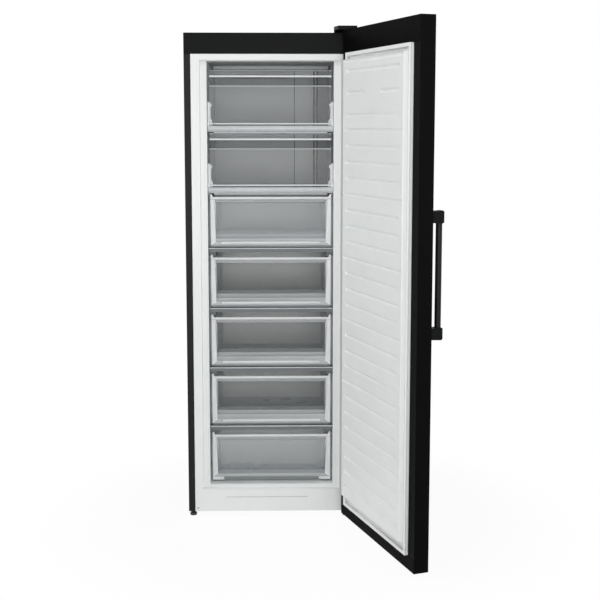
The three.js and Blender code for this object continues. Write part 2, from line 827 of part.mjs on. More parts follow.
/** An end cap of the door. It is made for the top; the bottom one is its mirror image. */
function doorCap(edge, low) {
  const up = edge > low ? 1 : -1;
  const zs = (a, b) => [a, b].sort((p, q) => p - q);
  const wide = HALF_WIDTH - SHEET - GAP;
  const ys = [DOOR_FRONT + SHEET + GAP, DOOR_BACK];
  const body = box([-wide, wide], ys, zs(low, edge));
  const lid = box([-HALF_WIDTH, HALF_WIDTH], [DOOR_FRONT, DOOR_BACK], zs(edge - up * (2 - GAP), edge));
  const pocket = box([-wide + 3, wide - 3], [ys[0] + 3, ys[1] - 3], zs(low - up, edge - up * 4));
  const boss = uprightRod(HINGE.x, HINGE.y, 12, ...zs(edge - up * 24, edge - up), 20);
  const bore = uprightRod(HINGE.x, HINGE.y, PIN_R + RUNNING, ...zs(edge - up * 20, edge + up * 5), 24);
  return body.subtract(pocket).add(lid).add(boss).subtract(bore);
}

function doorFoam() {
  const wide = HALF_WIDTH - SHEET - GAP;
  const slab = box(
    [-wide, wide],
    [DOOR_FRONT + SHEET + GAP, DOOR_BACK - LINER_WALL - GAP],
    [CAP_LOW + GAP, CAP_HIGH - GAP],
  );
  const inPlug = PLUG_HALF - LINER_WALL - GAP;
  const core = box(
    [-inPlug, inPlug],
    [DOOR_BACK - LINER_WALL - 5, DOOR_BACK + PLUG_HEIGHT - 5 - GAP],
    [PLUG_LOW + LINER_WALL + GAP, PLUG_HIGH - LINER_WALL - GAP],
  );
  return slab.add(core);
}

const GROOVE = { tall: 8, deep: 3, longEnd: 4, shortEnd: 29.5, pitch: 53.75 };

/** One pressed groove across the door liner, at a height, between two x. */
function groove(z, x0, x1) {
  const y = DOOR_BACK + PLUG_HEIGHT;
  const half = GROOVE.tall / 2;
  return alongX(
    [
      [y + 1, z - half - 1],
      [y - GROOVE.deep, z - half + 1.5],
      [y - GROOVE.deep, z + half - 1.5],
      [y + 1, z + half + 1],
    ],
    x0,
    x1,
  );
}

function doorGrooves() {
  const long = PLUG_HALF - GROOVE.longEnd;
  const short = PLUG_HALF - GROOVE.shortEnd;
  const longZ = [CEILING - 9, ...SHELF_TOPS.map((top) => top - 8)];
  const shortZ = SHELF_TOPS.flatMap((top) => [1, 2, 3].map((i) => top - 8 - i * GROOVE.pitch));
  const full = longZ.map((z) => groove(z, -long, long));
  const part = [1576, 1430, ...shortZ].map((z) => groove(z, -short, short));
  const broken = [groove(1504, 62, short - 5), groove(1504, -short + 5, -68)];
  return [...full, ...part, ...broken];
}

function doorLiner() {
  const flange = box(
    [-SEAL_HALF, SEAL_HALF],
    [DOOR_BACK - LINER_WALL, DOOR_BACK],
    [CAP_LOW + GAP, CAP_HIGH - GAP],
  );
  const top = DOOR_BACK + PLUG_HEIGHT;
  const edge = 6;
  const plug = tunnel([
    [DOOR_BACK - 1, PLUG_HALF, PLUG_LOW, PLUG_HIGH],
    [top - edge, PLUG_HALF, PLUG_LOW, PLUG_HIGH],
    [top, PLUG_HALF - edge * 0.5, PLUG_LOW + edge * 0.5, PLUG_HIGH - edge * 0.5],
  ]);
  const inPlug = PLUG_HALF - LINER_WALL;
  const room = box(
    [-inPlug, inPlug],
    [DOOR_BACK - 10, top - 5],
    [PLUG_LOW + LINER_WALL, PLUG_HIGH - LINER_WALL],
  );
  return doorGrooves().reduce((left, cut) => left.subtract(cut), flange.add(plug).subtract(room));
}

function doorGasket() {
  const ys = [DOOR_BACK + GAP, -0.6];
  const ring = box([-SEAL_HALF, SEAL_HALF], ys, [SEAL_LOW, SEAL_HIGH]);
  const inner = SEAL_HALF - SEAL_BAND;
  const hole = box([-inner, inner], [-30, 30], [SEAL_LOW + SEAL_BAND, SEAL_HIGH - SEAL_BAND]);
  const channel = both((side) => {
    const middle = side * (SEAL_HALF - SEAL_BAND / 2);
    return box([middle - 1.5, middle + 1.5], [-1.6, 5], [SEAL_LOW + 10, SEAL_HIGH - 10]);
  });
  return ring.subtract(hole).subtract(channel);
}

const HANDLE_X = -HALF_WIDTH + HANDLE_INSET;
const HANDLE_Y = DOOR_FRONT - HANDLE_OFF;

function handleBar() {
  return uprightRod(HANDLE_X, HANDLE_Y, HANDLE_R, HANDLE_LOW + 9, HANDLE_HIGH - 9, 28);
}

/** A bracket from the door's face to one end of the bar; inward is +1 for the lower one. */
function handleBracket(outer, inward) {
  const wide = 13;
  const far = HANDLE_Y - HANDLE_R - 1.5;
  const near = DOOR_FRONT - GAP;
  const end = outer + inward * BRACKET_TALL;
  const block = alongX(
    [
      [near, outer + inward * 3],
      [near, end - inward * 3],
      [far + 6, end],
      [far, end - inward * 3],
      [far, outer + inward * 4],
      [far + 4, outer],
    ],
    HANDLE_X - wide,
    HANDLE_X + wide,
  );
  const [low, high] = [outer + inward * 8, end + inward * 5].sort((a, b) => a - b);
  return block.subtract(uprightRod(HANDLE_X, HANDLE_Y, HANDLE_R + 0.5, low, high, 28));
}

function buildDoor(group) {
  const hinge = new THREE.Group();
  hinge.position.set(HINGE.x, HINGE.y, 0);
  hinge.rotation.z = degrees(DOOR_OPEN);
  const door = new THREE.Group();
  door.position.set(-HINGE.x, -HINGE.y, 0);
  hinge.add(door);
  group.add(hinge);
  piece(door, "door_skin", doorSkin(), COLOUR.black, 0.4);
  piece(door, "door_cap_top", doorCap(DOOR_HIGH, CAP_HIGH), COLOUR.black, 0.45);
  piece(door, "door_cap_bottom", doorCap(DOOR_LOW, CAP_LOW), COLOUR.black, 0.45);
  piece(door, "door_foam", doorFoam(), COLOUR.foam, 0.9);
  piece(door, "door_liner", doorLiner(), COLOUR.white, 0.4);
  piece(door, "door_gasket", doorGasket(), COLOUR.white, 0.6);
  piece(door, "handle_bar", handleBar(), COLOUR.black, 0.35);
  piece(door, "handle_bracket_upper", handleBracket(HANDLE_HIGH, -1), COLOUR.black, 0.35);
  piece(door, "handle_bracket_lower", handleBracket(HANDLE_LOW, 1), COLOUR.black, 0.35);
}

// ---- The whole freezer ----

const freezer = new THREE.Group();
const standing = new THREE.Group();
standing.position.x = -ORIGIN_X;
freezer.add(standing);
buildCabinet(standing);
buildShelves(standing);
buildInside(standing);
buildFeet(standing);
buildHinges(standing);
buildMovingInside(standing);
buildDoor(standing);

export default freezer;
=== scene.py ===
# %% [markdown]
# # Upright freezer, standing with its door open
# The freezer's real shapes and joints were made before this file starts: they come in as the
# frame. This lesson dresses that frame. Each piece gets the soft edges that sheet steel, moulded
# plastic and pressed liners really have, a finish made from nodes, and the small things that a
# maker would miss, such as a gasket's folds and a foot's grip. The scene is in metres.

import json
import math

import bmesh
import bpy
from mathutils import Matrix, Vector


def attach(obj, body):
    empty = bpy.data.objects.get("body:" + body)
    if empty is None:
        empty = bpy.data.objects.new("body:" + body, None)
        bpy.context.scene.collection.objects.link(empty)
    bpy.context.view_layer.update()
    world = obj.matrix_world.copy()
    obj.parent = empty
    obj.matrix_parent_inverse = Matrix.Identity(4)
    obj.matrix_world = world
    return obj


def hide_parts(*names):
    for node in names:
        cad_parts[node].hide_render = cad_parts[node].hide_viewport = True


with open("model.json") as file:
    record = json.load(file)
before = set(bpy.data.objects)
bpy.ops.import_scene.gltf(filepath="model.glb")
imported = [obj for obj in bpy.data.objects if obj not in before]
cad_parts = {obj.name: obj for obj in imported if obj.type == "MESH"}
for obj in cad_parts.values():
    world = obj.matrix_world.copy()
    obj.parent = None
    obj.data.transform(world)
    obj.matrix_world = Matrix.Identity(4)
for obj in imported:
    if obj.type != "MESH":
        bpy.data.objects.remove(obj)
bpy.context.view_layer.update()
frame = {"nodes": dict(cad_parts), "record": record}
BODY_OF = {n: body for body, names in frame["record"]["behaviour"]["bodies"].items() for n in names}

# %% [markdown]
# ## Measures
# The cabinet's middle lies a little left of the whole part's middle, because the open door
# stands out to the right. The pieces below are written from the cabinet's middle, in
# millimetres, as on a drawing, and one function turns such a point into the scene's metres.

# %% Measures of the freezer
CABINET_X = -116
HALF_WIDTH = 297.5
SHELF_TOPS = [1390, 1175, 960, 745, 530, 315]
LOWEST_FLOOR = 112
HINGE = (278, -35)
DOOR_OPEN = 109


def at(x, y, z):
    return Vector(((x + CABINET_X) / 1000, y / 1000, z / 1000))


def mm(length):
    return length / 1000


def in_scene(name, data):
    """A new object in the scene."""
    made = bpy.data.objects.new(name, data)
    bpy.context.scene.collection.objects.link(made)
    return made


hinge_line = Matrix.Translation(at(*HINGE, 0))
DOOR_TURN = hinge_line @ Matrix.Rotation(math.radians(DOOR_OPEN), 4, "Z") @ hinge_line.inverted()
print("hinge line at", [round(v, 3) for v in at(*HINGE, 0)])

# %% [markdown]
# ## Camera
# The photograph was taken from 3.9 m, at a height of 1.39 m, a little right of the cabinet's
# middle. Its camera was level and its lens was moved down, which keeps upright edges parallel.
# With that much shift a camera can't be moved round the object, so this one stands at the same
# point, tilts down by most of the angle, and takes only the rest as shift.

# %% Camera
TILT_DOWN = 6.97
TURN_RIGHT = 1.064

view = bpy.data.cameras.new("photo_view")
view.sensor_width = 36
view.lens = 66.67
view.shift_y = -0.06
camera = in_scene("photo_view", view)
camera.location = at(30.6, -3876, 1388)
camera.rotation_euler = (math.radians(90 - TILT_DOWN), 0, math.radians(-TURN_RIGHT))
bpy.context.scene.camera = camera
bpy.context.scene.view_settings.view_transform = "Standard"
print("camera", [round(v, 3) for v in camera.location], "lens", view.lens)

# %% [markdown]
# ## Finishes: nodes
# Colours are picked as sRGB hex values, as on a screen, and a shader wants linear light, so one
# function converts them. A material is a tree of nodes, and one function adds a node: plain
# values go into its sockets, and another node's output becomes a link.

# %% Colour and node helpers
def linear(hex_colour):
    levels = [int(hex_colour[i : i + 2], 16) / 255 for i in (0, 2, 4)]
    return [c / 12.92 if c <= 0.04045 else ((c + 0.055) / 1.055) ** 2.4 for c in levels] + [1]


def add(tree, kind, sockets=None, **settings):
    """Adds one node. A socket's value is a plain value, or another node's output to link."""
    node = tree.nodes.new("ShaderNode" + kind)
    for name, value in settings.items():
        setattr(node, name, value)
    for name, value in (sockets or {}).items():
        if isinstance(value, bpy.types.NodeSocket):
            tree.links.new(value, node.inputs[name])
        else:
            node.inputs[name].default_value = value
    return node


def new_material(name):
    """An empty material, with its tree and a texture place in metres."""
    material = bpy.data.materials.new(name)
    material.use_nodes = True
    tree = material.node_tree
    tree.nodes.clear()
    place = add(tree, "TexCoord").outputs["Object"]
    return material, tree, place


def finish_with(tree, shader):
    add(tree, "OutputMaterial", {"Surface": shader.outputs[0]})


def surface(material, look):
    """Ends a material with one principled shader."""
    finish_with(material.node_tree, add(material.node_tree, "BsdfPrincipled", look))
    return material


print("white is", linear("ffffff"))

# %% [markdown]
# ## Finishes: patterns
# Most finishes are built alike. Patterns are sized in millimetres, as on the real thing, and a
# pattern drives a blend of two near tones, a span of roughness, or a low relief. Noise seldom
# leaves the range from 0.3 to 0.7, so that range is what is spread over a span.

# %% Pattern helpers
NOISE_LOW = 0.3
NOISE_HIGH = 0.7


def noise(tree, place, size_mm, detail, **more):
    """A cloudy pattern whose patches are about this large."""
    sockets = {"Vector": place, "Scale": 1 / mm(size_mm), "Detail": detail, **more}
    return add(tree, "TexNoise", sockets).outputs["Fac"]


def spread(tree, pattern, low, high):
    """Turns a noise pattern into values from low to high."""
    sockets = {"Value": pattern, "From Min": NOISE_LOW, "From Max": NOISE_HIGH, "To Min": low, "To Max": high}
    return add(tree, "MapRange", sockets).outputs["Result"]


def blend(tree, pattern, dark, pale):
    """Turns a pattern into tones between two colours."""
    sockets = {"Factor": pattern, "A": linear(dark), "B": linear(pale)}
    return add(tree, "Mix", sockets, data_type="RGBA").outputs["Result"]


def relief(tree, pattern, strength, depth_mm):
    """Turns a pattern into a low relief."""
    sockets = {"Height": pattern, "Strength": strength, "Distance": mm(depth_mm)}
    return add(tree, "Bump", sockets).outputs["Normal"]


def maths(tree, operation, *values, **settings):
    return add(tree, "Math", dict(enumerate(values)), operation=operation, **settings).outputs["Value"]


print("noise is spread from", NOISE_LOW, "to", NOISE_HIGH)

# %% [markdown]
# ## Painted steel
# The skin and the side panels are steel sheet, painted satin black before it is folded. The roller
# leaves a faint orange peel, about 1 mm across; on the door it is drawn 3 mm wide, or it would be
# lost. Hands and cloths leave broad, weak changes in the gloss. Door and cabinet carry one black
# paint: the door's copy is drawn deeper black as painted shade on its edges, and the cabinet's is
# drawn charcoal, with a stronger pebble, as painted light on its front.

# %% Painted steel
def painted_steel(name, dark, pale, shine, peel_mm, peel_depth):
    material, tree, place = new_material(name)
    peel = noise(tree, place, peel_mm, 2.0)
    wiped = noise(tree, place, 140, 3.0)
    return surface(material, {
        "Base Color": blend(tree, wiped, dark, pale),
        "Roughness": spread(tree, wiped, 0.39, 0.43),
        "Specular IOR Level": shine,
        "Normal": relief(tree, peel, 0.12, peel_depth),
    })


# The door's copy is deeper black than the paint's own tone: painted shade on the door's edges.
DOOR_PAINT_SHADED = painted_steel("black_painted_steel_painted_shade", "0b0b0c", "0e0e0f", 0.02, 3, 0.2)
HANDLE_PAINT = painted_steel("powder_coated_black_tube", "161616", "1b1b1b", 0.16, 1.2, 0.1)
# The cabinet's copy is paler than the paint's own tone: painted light on its front.
SIDE_PAINT_LIT = painted_steel("pebbled_black_painted_steel_painted_light", "1a1b1b", "202121", 0.12, 1.6, 0.35)
print("materials", DOOR_PAINT_SHADED.name, SIDE_PAINT_LIT.name)

# %% [markdown]
# ## Moulded ABS
# The header, the door's end caps, the hinge cover and the handle's brackets are injection moulded
# in black ABS. The mould's cavity was spark eroded, which leaves a fine even grain. It scatters
# light, so the plastic looks a little flatter than the paint beside it. Real grain is about
# 0.3 mm; it is drawn at 1 mm so that some of it shows up close.

# %% Black ABS
def black_abs(name, dark, pale, shine):
    material, tree, place = new_material(name)
    grain = add(tree, "TexVoronoi", {"Vector": place, "Scale": 1 / mm(1)}, feature="SMOOTH_F1")
    cloud = noise(tree, place, 60, 2.0)
    return surface(material, {
        "Base Color": blend(tree, cloud, dark, pale),
        "Roughness": spread(tree, cloud, 0.44, 0.52),
        "Specular IOR Level": shine,
        "Normal": relief(tree, grain.outputs["Distance"], 0.15, 0.15),
    })


BLACK_ABS = black_abs("spark_grained_black_abs", "0f1010", "131414", 0.07)
# The door's end caps are the header's ABS drawn deeper black: painted shade on the door's edge.
CAP_ABS_SHADED = black_abs("black_abs_painted_shade", "050505", "080808", 0.015)
print("materials", BLACK_ABS.name, CAP_ABS_SHADED.name)

# %% [markdown]
# ## Vacuum-formed liner
# The liner and the door's inner panel are high-impact polystyrene, a white sheet heated and
# sucked over a mould. It is smooth and half glossy, with very long, shallow waves where it
# cooled unevenly. The waves are about 60 mm long and show only in the shine.

# %% White liner
def formed_white():
    material, tree, place = new_material("vacuum_formed_white_polystyrene")
    waves = noise(tree, place, 60, 1.5)
    pores = noise(tree, place, 2.5, 1.0)
    return surface(material, {
        "Base Color": blend(tree, waves, "e8eaea", "edefee"),
        "Roughness": spread(tree, waves, 0.3, 0.38),
        "IOR": 1.59,
        "Specular IOR Level": 0.4,
        "Normal": relief(tree, maths(tree, "MULTIPLY", waves, pores), 0.25, 0.6),
    })


FORMED_WHITE = formed_white()
print("material", FORMED_WHITE.name)

# %% [markdown]
# ## Clear plastic, thin and thick
# Drawers and flaps are crystal polystyrene, injection moulded and slightly smoky. Where the wall
# is thin you look through it; where it is thick, at rims and frames, light runs along inside and
# comes out at the edges, so these look pale and frosted. The tub behind the front has a fine
# grain that hides scratches, so it is milky. A true refracting solid would be slow and speckled,
# so each shader lets a share of the light straight through and adds a thin haze, which grows at
# a glancing angle.

# %% Clear and frosted polystyrene
def crystal(name, hex_colour, haze, roughness):
    material, tree, place = new_material(name)
    flow = noise(tree, place, 120, 1.0, Distortion=0.4)
    glance = add(tree, "Fresnel", {"IOR": 1.3}).outputs["Fac"]
    veil = spread(tree, flow, haze * 0.97, haze * 1.03)
    return surface(material, {
        "Base Color": linear(hex_colour),
        "Roughness": spread(tree, flow, roughness, roughness + 0.06),
        "IOR": 1.59,
        "Alpha": maths(tree, "ADD", veil, glance, use_clamp=True),
    })


CRYSTAL = crystal("smoky_crystal_polystyrene", "c4c8ca", 0.09, 0.12)
DRAWER_FRONT = crystal("satin_crystal_polystyrene", "94989a", 0.11, 0.2)
# A paler copy of the drawers' front plastic: painted light on the top and bottom drawers.
FRONT_PAINTED_LIGHT = crystal("crystal_polystyrene_painted_light", "dfe3e5", 0.26, 0.2)
FROSTED_EDGE = crystal("thick_edge_of_crystal_polystyrene", "e0e3e4", 0.9, 0.3)
SOFT_EDGE = crystal("thinner_edge_of_crystal_polystyrene", "ced1d3", 0.48, 0.3)
# A darker copy of clear plastic: painted shade in the flaps' finger troughs.
GRIP_TROUGH_PAINTED_SHADE = crystal("crystal_polystyrene_painted_shade_in_trough", "55595c", 0.2, 0.3)
print("materials", CRYSTAL.name, FROSTED_EDGE.name)

# %% [markdown]
# ## Shelf glass and moulded plastics
# The shelves are 4 mm toughened float glass. Iron in the glass makes its cut edge sea green, and
# the face nearly clear. The trims along their front edges are pale grey moulded polystyrene. One
# function makes that and the other moulded plastics, each with its own tone and grain.

# %% Glass and moulded plastics
def toughened_glass():
    material, tree, place = new_material("toughened_float_glass")
    ripple = noise(tree, place, 90, 1.0)
    glance = add(tree, "Fresnel", {"IOR": 1.52}).outputs["Fac"]
    return surface(material, {
        "Base Color": linear("8fa39e"),
        "Roughness": 0.04,
        "IOR": 1.52,
        "Alpha": maths(tree, "ADD", glance, 0.16, use_clamp=True),
        "Normal": relief(tree, ripple, 0.05, 0.5),
    })


def moulded(name, dark, pale, rough, grain_mm):
    """Injection moulded plastic: a mould's grain and a weak drift in tone."""
    material, tree, place = new_material(name)
    grain = noise(tree, place, grain_mm, 2.0)
    drift = noise(tree, place, 50, 2.0)
    return surface(material, {
        "Base Color": blend(tree, drift, dark, pale),
        "Roughness": spread(tree, drift, rough - 0.04, rough + 0.04),
        "Normal": relief(tree, grain, 0.15, 0.2),
    })


GLASS = toughened_glass()
GREY_TRIM = moulded("moulded_grey_polystyrene", "bcbfc2", "c5c8ca", 0.28, 1.2)
DARK_NYLON = moulded("moulded_black_nylon", "1a1a1a", "242424", 0.5, 1.0)
RUBBER = moulded("black_rubber", "161616", "202020", 0.8, 0.8)
SEAL = moulded("soft_white_vinyl_gasket", "e8e9e9", "eff0f0", 0.5, 1.5)
DUCT_GREY = moulded("moulded_grey_duct_panel", "c9cccd", "cdd0d0", 0.4, 1.5)
# A darker grey that paints shade: on the back wall's right strip and on the drawers' lip strip.
PAINTED_SHADE_GREY = moulded("slate_grey_painted_shade", "7c8182", "808586", 0.4, 1.5)
# A dark slate that paints shade: on the trims' webs, in the gaps under the trims, and on the ceiling rail.
TRIM_PAINTED_SHADE = moulded("dark_slate_painted_shade", "6a6e71", "737779", 0.5, 1.2)
MILKY_TUB = moulded("grained_milky_polystyrene", "f0f2f2", "f4f5f5", 0.3, 1.0)
print("materials", GLASS.name, GREY_TRIM.name, SEAL.name)

# %% [markdown]
# ## Metals and other inner materials
# Zinc freezes on hot steel sheet in flat crystals, the spangle, each with its own grey: a
# Voronoi pattern gives one grey per cell. Drawn copper and aluminium fins carry fine lines along
# the way they were drawn. Insulating foam is a skin over small closed cells. The compressor's pot
# is deep drawn and dipped in black enamel.

# %% Metals
def spangled_zinc():
    material, tree, place = new_material("hot_dip_galvanised_steel")
    crystals = add(tree, "TexVoronoi", {"Vector": place, "Scale": 1 / mm(14), "Randomness": 1.0})
    grey = add(tree, "RGBToBW", {"Color": crystals.outputs["Color"]}).outputs["Val"]
    gloss = add(tree, "MapRange", {"Value": grey, "To Min": 0.34, "To Max": 0.52})
    return surface(material, {
        "Base Color": blend(tree, grey, "9ea2a5", "b9bcbe"),
        "Metallic": 1.0,
        "Roughness": gloss.outputs["Result"],
        "Normal": relief(tree, noise(tree, place, 3, 4.0), 0.1, 0.1),
    })


def drawn_metal(name, dark, pale, rough, along):
    """Metal with fine lines along the way it was drawn; along is the stretch per axis."""
    material, tree, place = new_material(name)
    stretched = add(tree, "Mapping", {"Vector": place, "Scale": along})
    lines = noise(tree, stretched.outputs["Vector"], 1.5, 3.0)
    return surface(material, {
        "Base Color": blend(tree, lines, dark, pale),
        "Metallic": 1.0,
        "Roughness": rough,
        "Normal": relief(tree, lines, 0.2, 0.1),
    })


ZINC = spangled_zinc()
PIN_STEEL = drawn_metal("zinc_plated_turned_steel", "9a9da1", "b4b7bb", 0.3, (1, 1, 0.1))
BLACK_ZINC = drawn_metal("black_passivated_screws", "1d1e1f", "2c2d2e", 0.4, (1, 1, 1))
ALUMINIUM = drawn_metal("rolled_aluminium_fins", "b9bcbe", "cfd1d3", 0.38, (1, 0.2, 0.2))
COPPER = drawn_metal("drawn_copper_tube", "a8673d", "c88656", 0.3, (1, 1, 0.1))
print("materials", ZINC.name, COPPER.name)

# %% Foam, enamel and board
def cellular_foam():
    material, tree, place = new_material("polyurethane_foam")
    cells = add(tree, "TexVoronoi", {"Vector": place, "Scale": 1 / mm(3)})
    return surface(material, {
        "Base Color": blend(tree, noise(tree, place, 80, 3.0), "d9c88a", "e8dcae"),
        "Roughness": 0.9,
        "Normal": relief(tree, cells.outputs["Distance"], 0.5, 1),
    })


def dipped_enamel():
    material, tree, place = new_material("dipped_black_enamel")
    runs = noise(tree, place, 18, 2.0)
    return surface(material, {
        "Base Color": blend(tree, runs, "141414", "202020"),
        "Roughness": 0.22,
        "Normal": relief(tree, runs, 0.2, 0.6),
    })


def circuit_board():
    material, tree, place = new_material("solder_masked_circuit_board")
    tracks = add(tree, "TexBrick", {
        "Vector": place,
        "Scale": 1 / mm(9),
        "Mortar Size": 0.04,
        "Color1": linear("1c5a34"),
        "Color2": linear("205f38"),
        "Mortar": linear("3d8a55"),
    })
    return surface(material, {"Base Color": tracks.outputs["Color"], "Roughness": 0.35})


FOAM = cellular_foam()
ENAMEL = dipped_enamel()
BOARD = circuit_board()
print("materials", FOAM.name, ENAMEL.name, BOARD.name)

# %% [markdown]
# ## Soft edges
# No folded sheet or moulding has a knife edge: a fold in thin steel has a radius of half a
# millimetre or more, and a moulding's corner too. These narrow rounds catch the light and outline
# every piece, so they matter more than any texture. The functions below copy a piece of the frame,
# melt its triangles back into flat faces, round each sharp edge, and put the copy in its place.

# %% Rounding functions
SAME_PLACE = 2e-6
FLAT_ANGLE = math.radians(0.5)
SHARP_ANGLE = math.radians(28)


def rounded_edges(mesh, radius):
    """A mesh as a bmesh with flat faces joined and each sharp edge rounded."""
    body = bmesh.new()
    body.from_mesh(mesh)
    bmesh.ops.remove_doubles(body, verts=body.verts, dist=SAME_PLACE)
    bmesh.ops.dissolve_limit(body, angle_limit=FLAT_ANGLE, verts=body.verts, edges=body.edges)
    sharp = [e for e in body.edges if len(e.link_faces) == 2 and e.calc_face_angle() > SHARP_ANGLE]
    if sharp and radius:
        shape = {"segments": 2, "profile": 0.6, "affect": "EDGES", "clamp_overlap": True}
        bmesh.ops.bevel(body, geom=sharp, offset=mm(radius), **shape)
    return body


def softened_mesh(node, radius):
    return rounded_edges(frame["nodes"][node].data, radius)


def as_object(name, body):
    """Turns a bmesh into an object."""
    mesh = bpy.data.meshes.new(name)
    body.to_mesh(mesh)
    body.free()
    return in_scene(name, mesh)


def piece(node, suffix, body, *materials, replaces=True):
    """A smooth piece that moves with a frame node; as a rule it also stands for that node."""
    for face in body.faces:
        face.smooth = True
    made = as_object(f"{node}_{suffix}", body)
    for material in materials:
        made.data.materials.append(material)
    level = made.modifiers.new("flat_faces_stay_flat", "WEIGHTED_NORMAL")
    level.mode = "FACE_AREA_WITH_ANGLE"
    level.weight = 80
    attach(made, BODY_OF[node])
    if replaces:
        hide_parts(node)


def dress(node, suffix, material, radius):
    """A rounded copy of one node in its finish."""
    piece(node, suffix, softened_mesh(node, radius), material)


print("points closer than", SAME_PLACE, "m are joined")

# %% [markdown]
# ## Cabinet
# The wrapper is folded steel, the header a moulding, and the liner one formed sheet. The liner's
# edges are among the roundest, because the hot sheet can't follow a sharp corner.

# %% Cabinet pieces
CABINET = [
    ("side_panel_left", "folded", SIDE_PAINT_LIT, 0.45),
    ("side_panel_right", "folded", SIDE_PAINT_LIT, 0.45),
    ("top_panel", "folded", SIDE_PAINT_LIT, 0.45),
    ("front_header", "moulded", BLACK_ABS, 1.2),
    ("inner_liner", "formed", FORMED_WHITE, 1.2),
    ("plinth_panel", "moulded", FORMED_WHITE, 1.0),
    ("base_plate", "pressed", ZINC, 0.4),
    ("drip_tray", "moulded", DARK_NYLON, 1.0),
    ("hinge_cover", "moulded", BLACK_ABS, 1.2),
    ("hinge_plate_top", "pressed", ZINC, 0.6),
    ("hinge_plate_bottom", "pressed", ZINC, 0.6),
    ("hinge_pin_top", "turned", PIN_STEEL, 0.4),
    ("hinge_pin_bottom", "turned", PIN_STEEL, 0.4),
    ("roller_fork_left", "pressed", ZINC, 0.3),
    ("roller_fork_right", "pressed", ZINC, 0.3),
]
for entry in CABINET:
    dress(*entry)
print("cabinet pieces", len(CABINET))

# %% [markdown]
# ## Moulded shapes
# Shelf trims, drawers and flaps are long mouldings with one section, so they are drawn the way
# their moulds are cut: an outline with rounded corners, stretched along the freezer's width. The
# two ends are drawn in a little, which gives them a soft edge too. A drawer's tub is lofted: one
# rounded rectangle after another, up the outside and down the inside.

# %% Outline tools
def bend(start, corner, end, steps):
    """Points on a curve that leaves start towards a corner and comes to end from there."""
    shares = [i / steps for i in range(steps + 1)]
    return [(1 - t) ** 2 * start + 2 * t * (1 - t) * corner + t * t * end for t in shares]


def rounded(outline, radius, steps=3):
    """An outline of (a, b) points with each corner turned into a short curve."""
    made = []
    for before, corner, after in zip(outline[-1:] + outline[:-1], outline, outline[1:] + outline[:1]):
        corner = Vector(corner)
        sides = [Vector(p) - corner for p in (before, after)]
        reach = min(radius, *(0.45 * side.length for side in sides))
        start, end = (corner + side.normalized() * reach for side in sides)
        made += bend(start, corner, end, steps)
    return made


def lifted(outline, up, radius, steps=3):
    """A rounded outline, moved up to its height."""
    return rounded([(a, b + up) for a, b in outline], radius, steps)


def span(side, start, end):
    """The stretch between two x on the right side (1), or its mirror image on the left (-1)."""
    return sorted((side * start, side * end))


def circle(sides):
    """The angles of points all the way round."""
    return [2 * math.pi * i / sides for i in range(sides)]


def drawn_in(outline, by):
    """The outline made smaller all round, for the soft edge at an end."""
    middle = sum(outline, Vector((0, 0))) / len(outline)
    size = max((p - middle).length for p in outline)
    return [middle + (p - middle) * (1 - by / size) for p in outline]


print("outline tools: bend, rounded, lifted, span, circle, drawn_in")

# %% Solid tools
def bands(body, loops, closed=False):
    """Faces between each loop of points and the next, and from the last to the first if closed."""
    following = loops[1:] + loops[:1] if closed else loops[1:]
    faces = []
    for here, there in zip(loops, following):
        for i in range(len(here)):
            faces.append(body.faces.new((here[i - 1], here[i], there[i], there[i - 1])))
    return faces


def loft(body, rings, look=0):
    """Joins rings of points into one closed solid; the first and last ring are its ends."""
    loops = [[body.verts.new(p) for p in ring] for ring in rings]
    faces = [body.faces.new(loops[0]), body.faces.new(loops[-1])] + bands(body, loops)
    for face in faces:
        face.material_index = look
    bmesh.ops.recalc_face_normals(body, faces=faces)
    return faces


def moulding(body, outline, low, high, along="x", look=0, edge=0.8):
    """A solid with a (y, z) outline stretched along X, or an (x, z) outline along Y."""
    place = (lambda a, b, c: at(c, a, b)) if along == "x" else (lambda a, b, c: at(a, c, b))
    end = drawn_in(outline, edge)
    stations = [(low, end), (low + edge, outline), (high - edge, outline), (high, end)]
    return loft(body, [[place(a, b, c) for a, b in ring] for c, ring in stations], look)


def block(body, xs, ys, zs, radius=1.0, look=0):
    """A box with soft edges, between two x, two y and two z."""
    outline = [(ys[0], zs[0]), (ys[1], zs[0]), (ys[1], zs[1]), (ys[0], zs[1])]
    return moulding(body, rounded(outline, radius, 2), *xs, look=look)


def turned(body, profile, centre, sides, look=0, flutes=0, depth=0.0):
    """A lathe-turned solid from (radius, z) points; flutes are cut where a point has a third value."""
    x, y, low = centre
    rings = []
    for point in profile:
        radius, z = point[:2]
        cut = depth if len(point) > 2 else 0
        spots = [(radius - cut * (0.5 + 0.5 * math.cos(flutes * t)), t) for t in circle(sides)]
        rings.append([at(x + r * math.cos(t), y + r * math.sin(t), low + z) for r, t in spots])
    return loft(body, rings, look)


def pipe(body, points, radius, look=0, sides=12):
    """A round tube through points; a bend is given as several points."""
    points = [Vector(p) for p in points]
    rings = []
    for i, middle in enumerate(points):
        ahead = points[min(i + 1, len(points) - 1)] - points[max(i - 1, 0)]
        aim = ahead.to_track_quat("Z", "Y")
        rim = [Vector((radius * math.cos(t), radius * math.sin(t), 0)) for t in circle(sides)]
        rings.append([at(*(middle + aim @ spot)) for spot in rim])
    return loft(body, rings, look)


def screw(body, x, y, z, radius, head, look):
    """A pan head with a small recess; it looks along Y, or towards the front if head is negative."""
    away = 1 if head > 0 else -1
    rings = []
    for out, up in ((1, 0), (1, 0.4), (0.85, 0.85), (0.6, 1), (0.35, 1), (0.2, 0.3)):
        r = radius * out
        rings.append([at(x + r * math.cos(t) * away, y + head * up, z + r * math.sin(t)) for t in circle(24)])
    loft(body, rings, look)


print("solid tools: bands, loft, moulding, block, turned, pipe, screw")

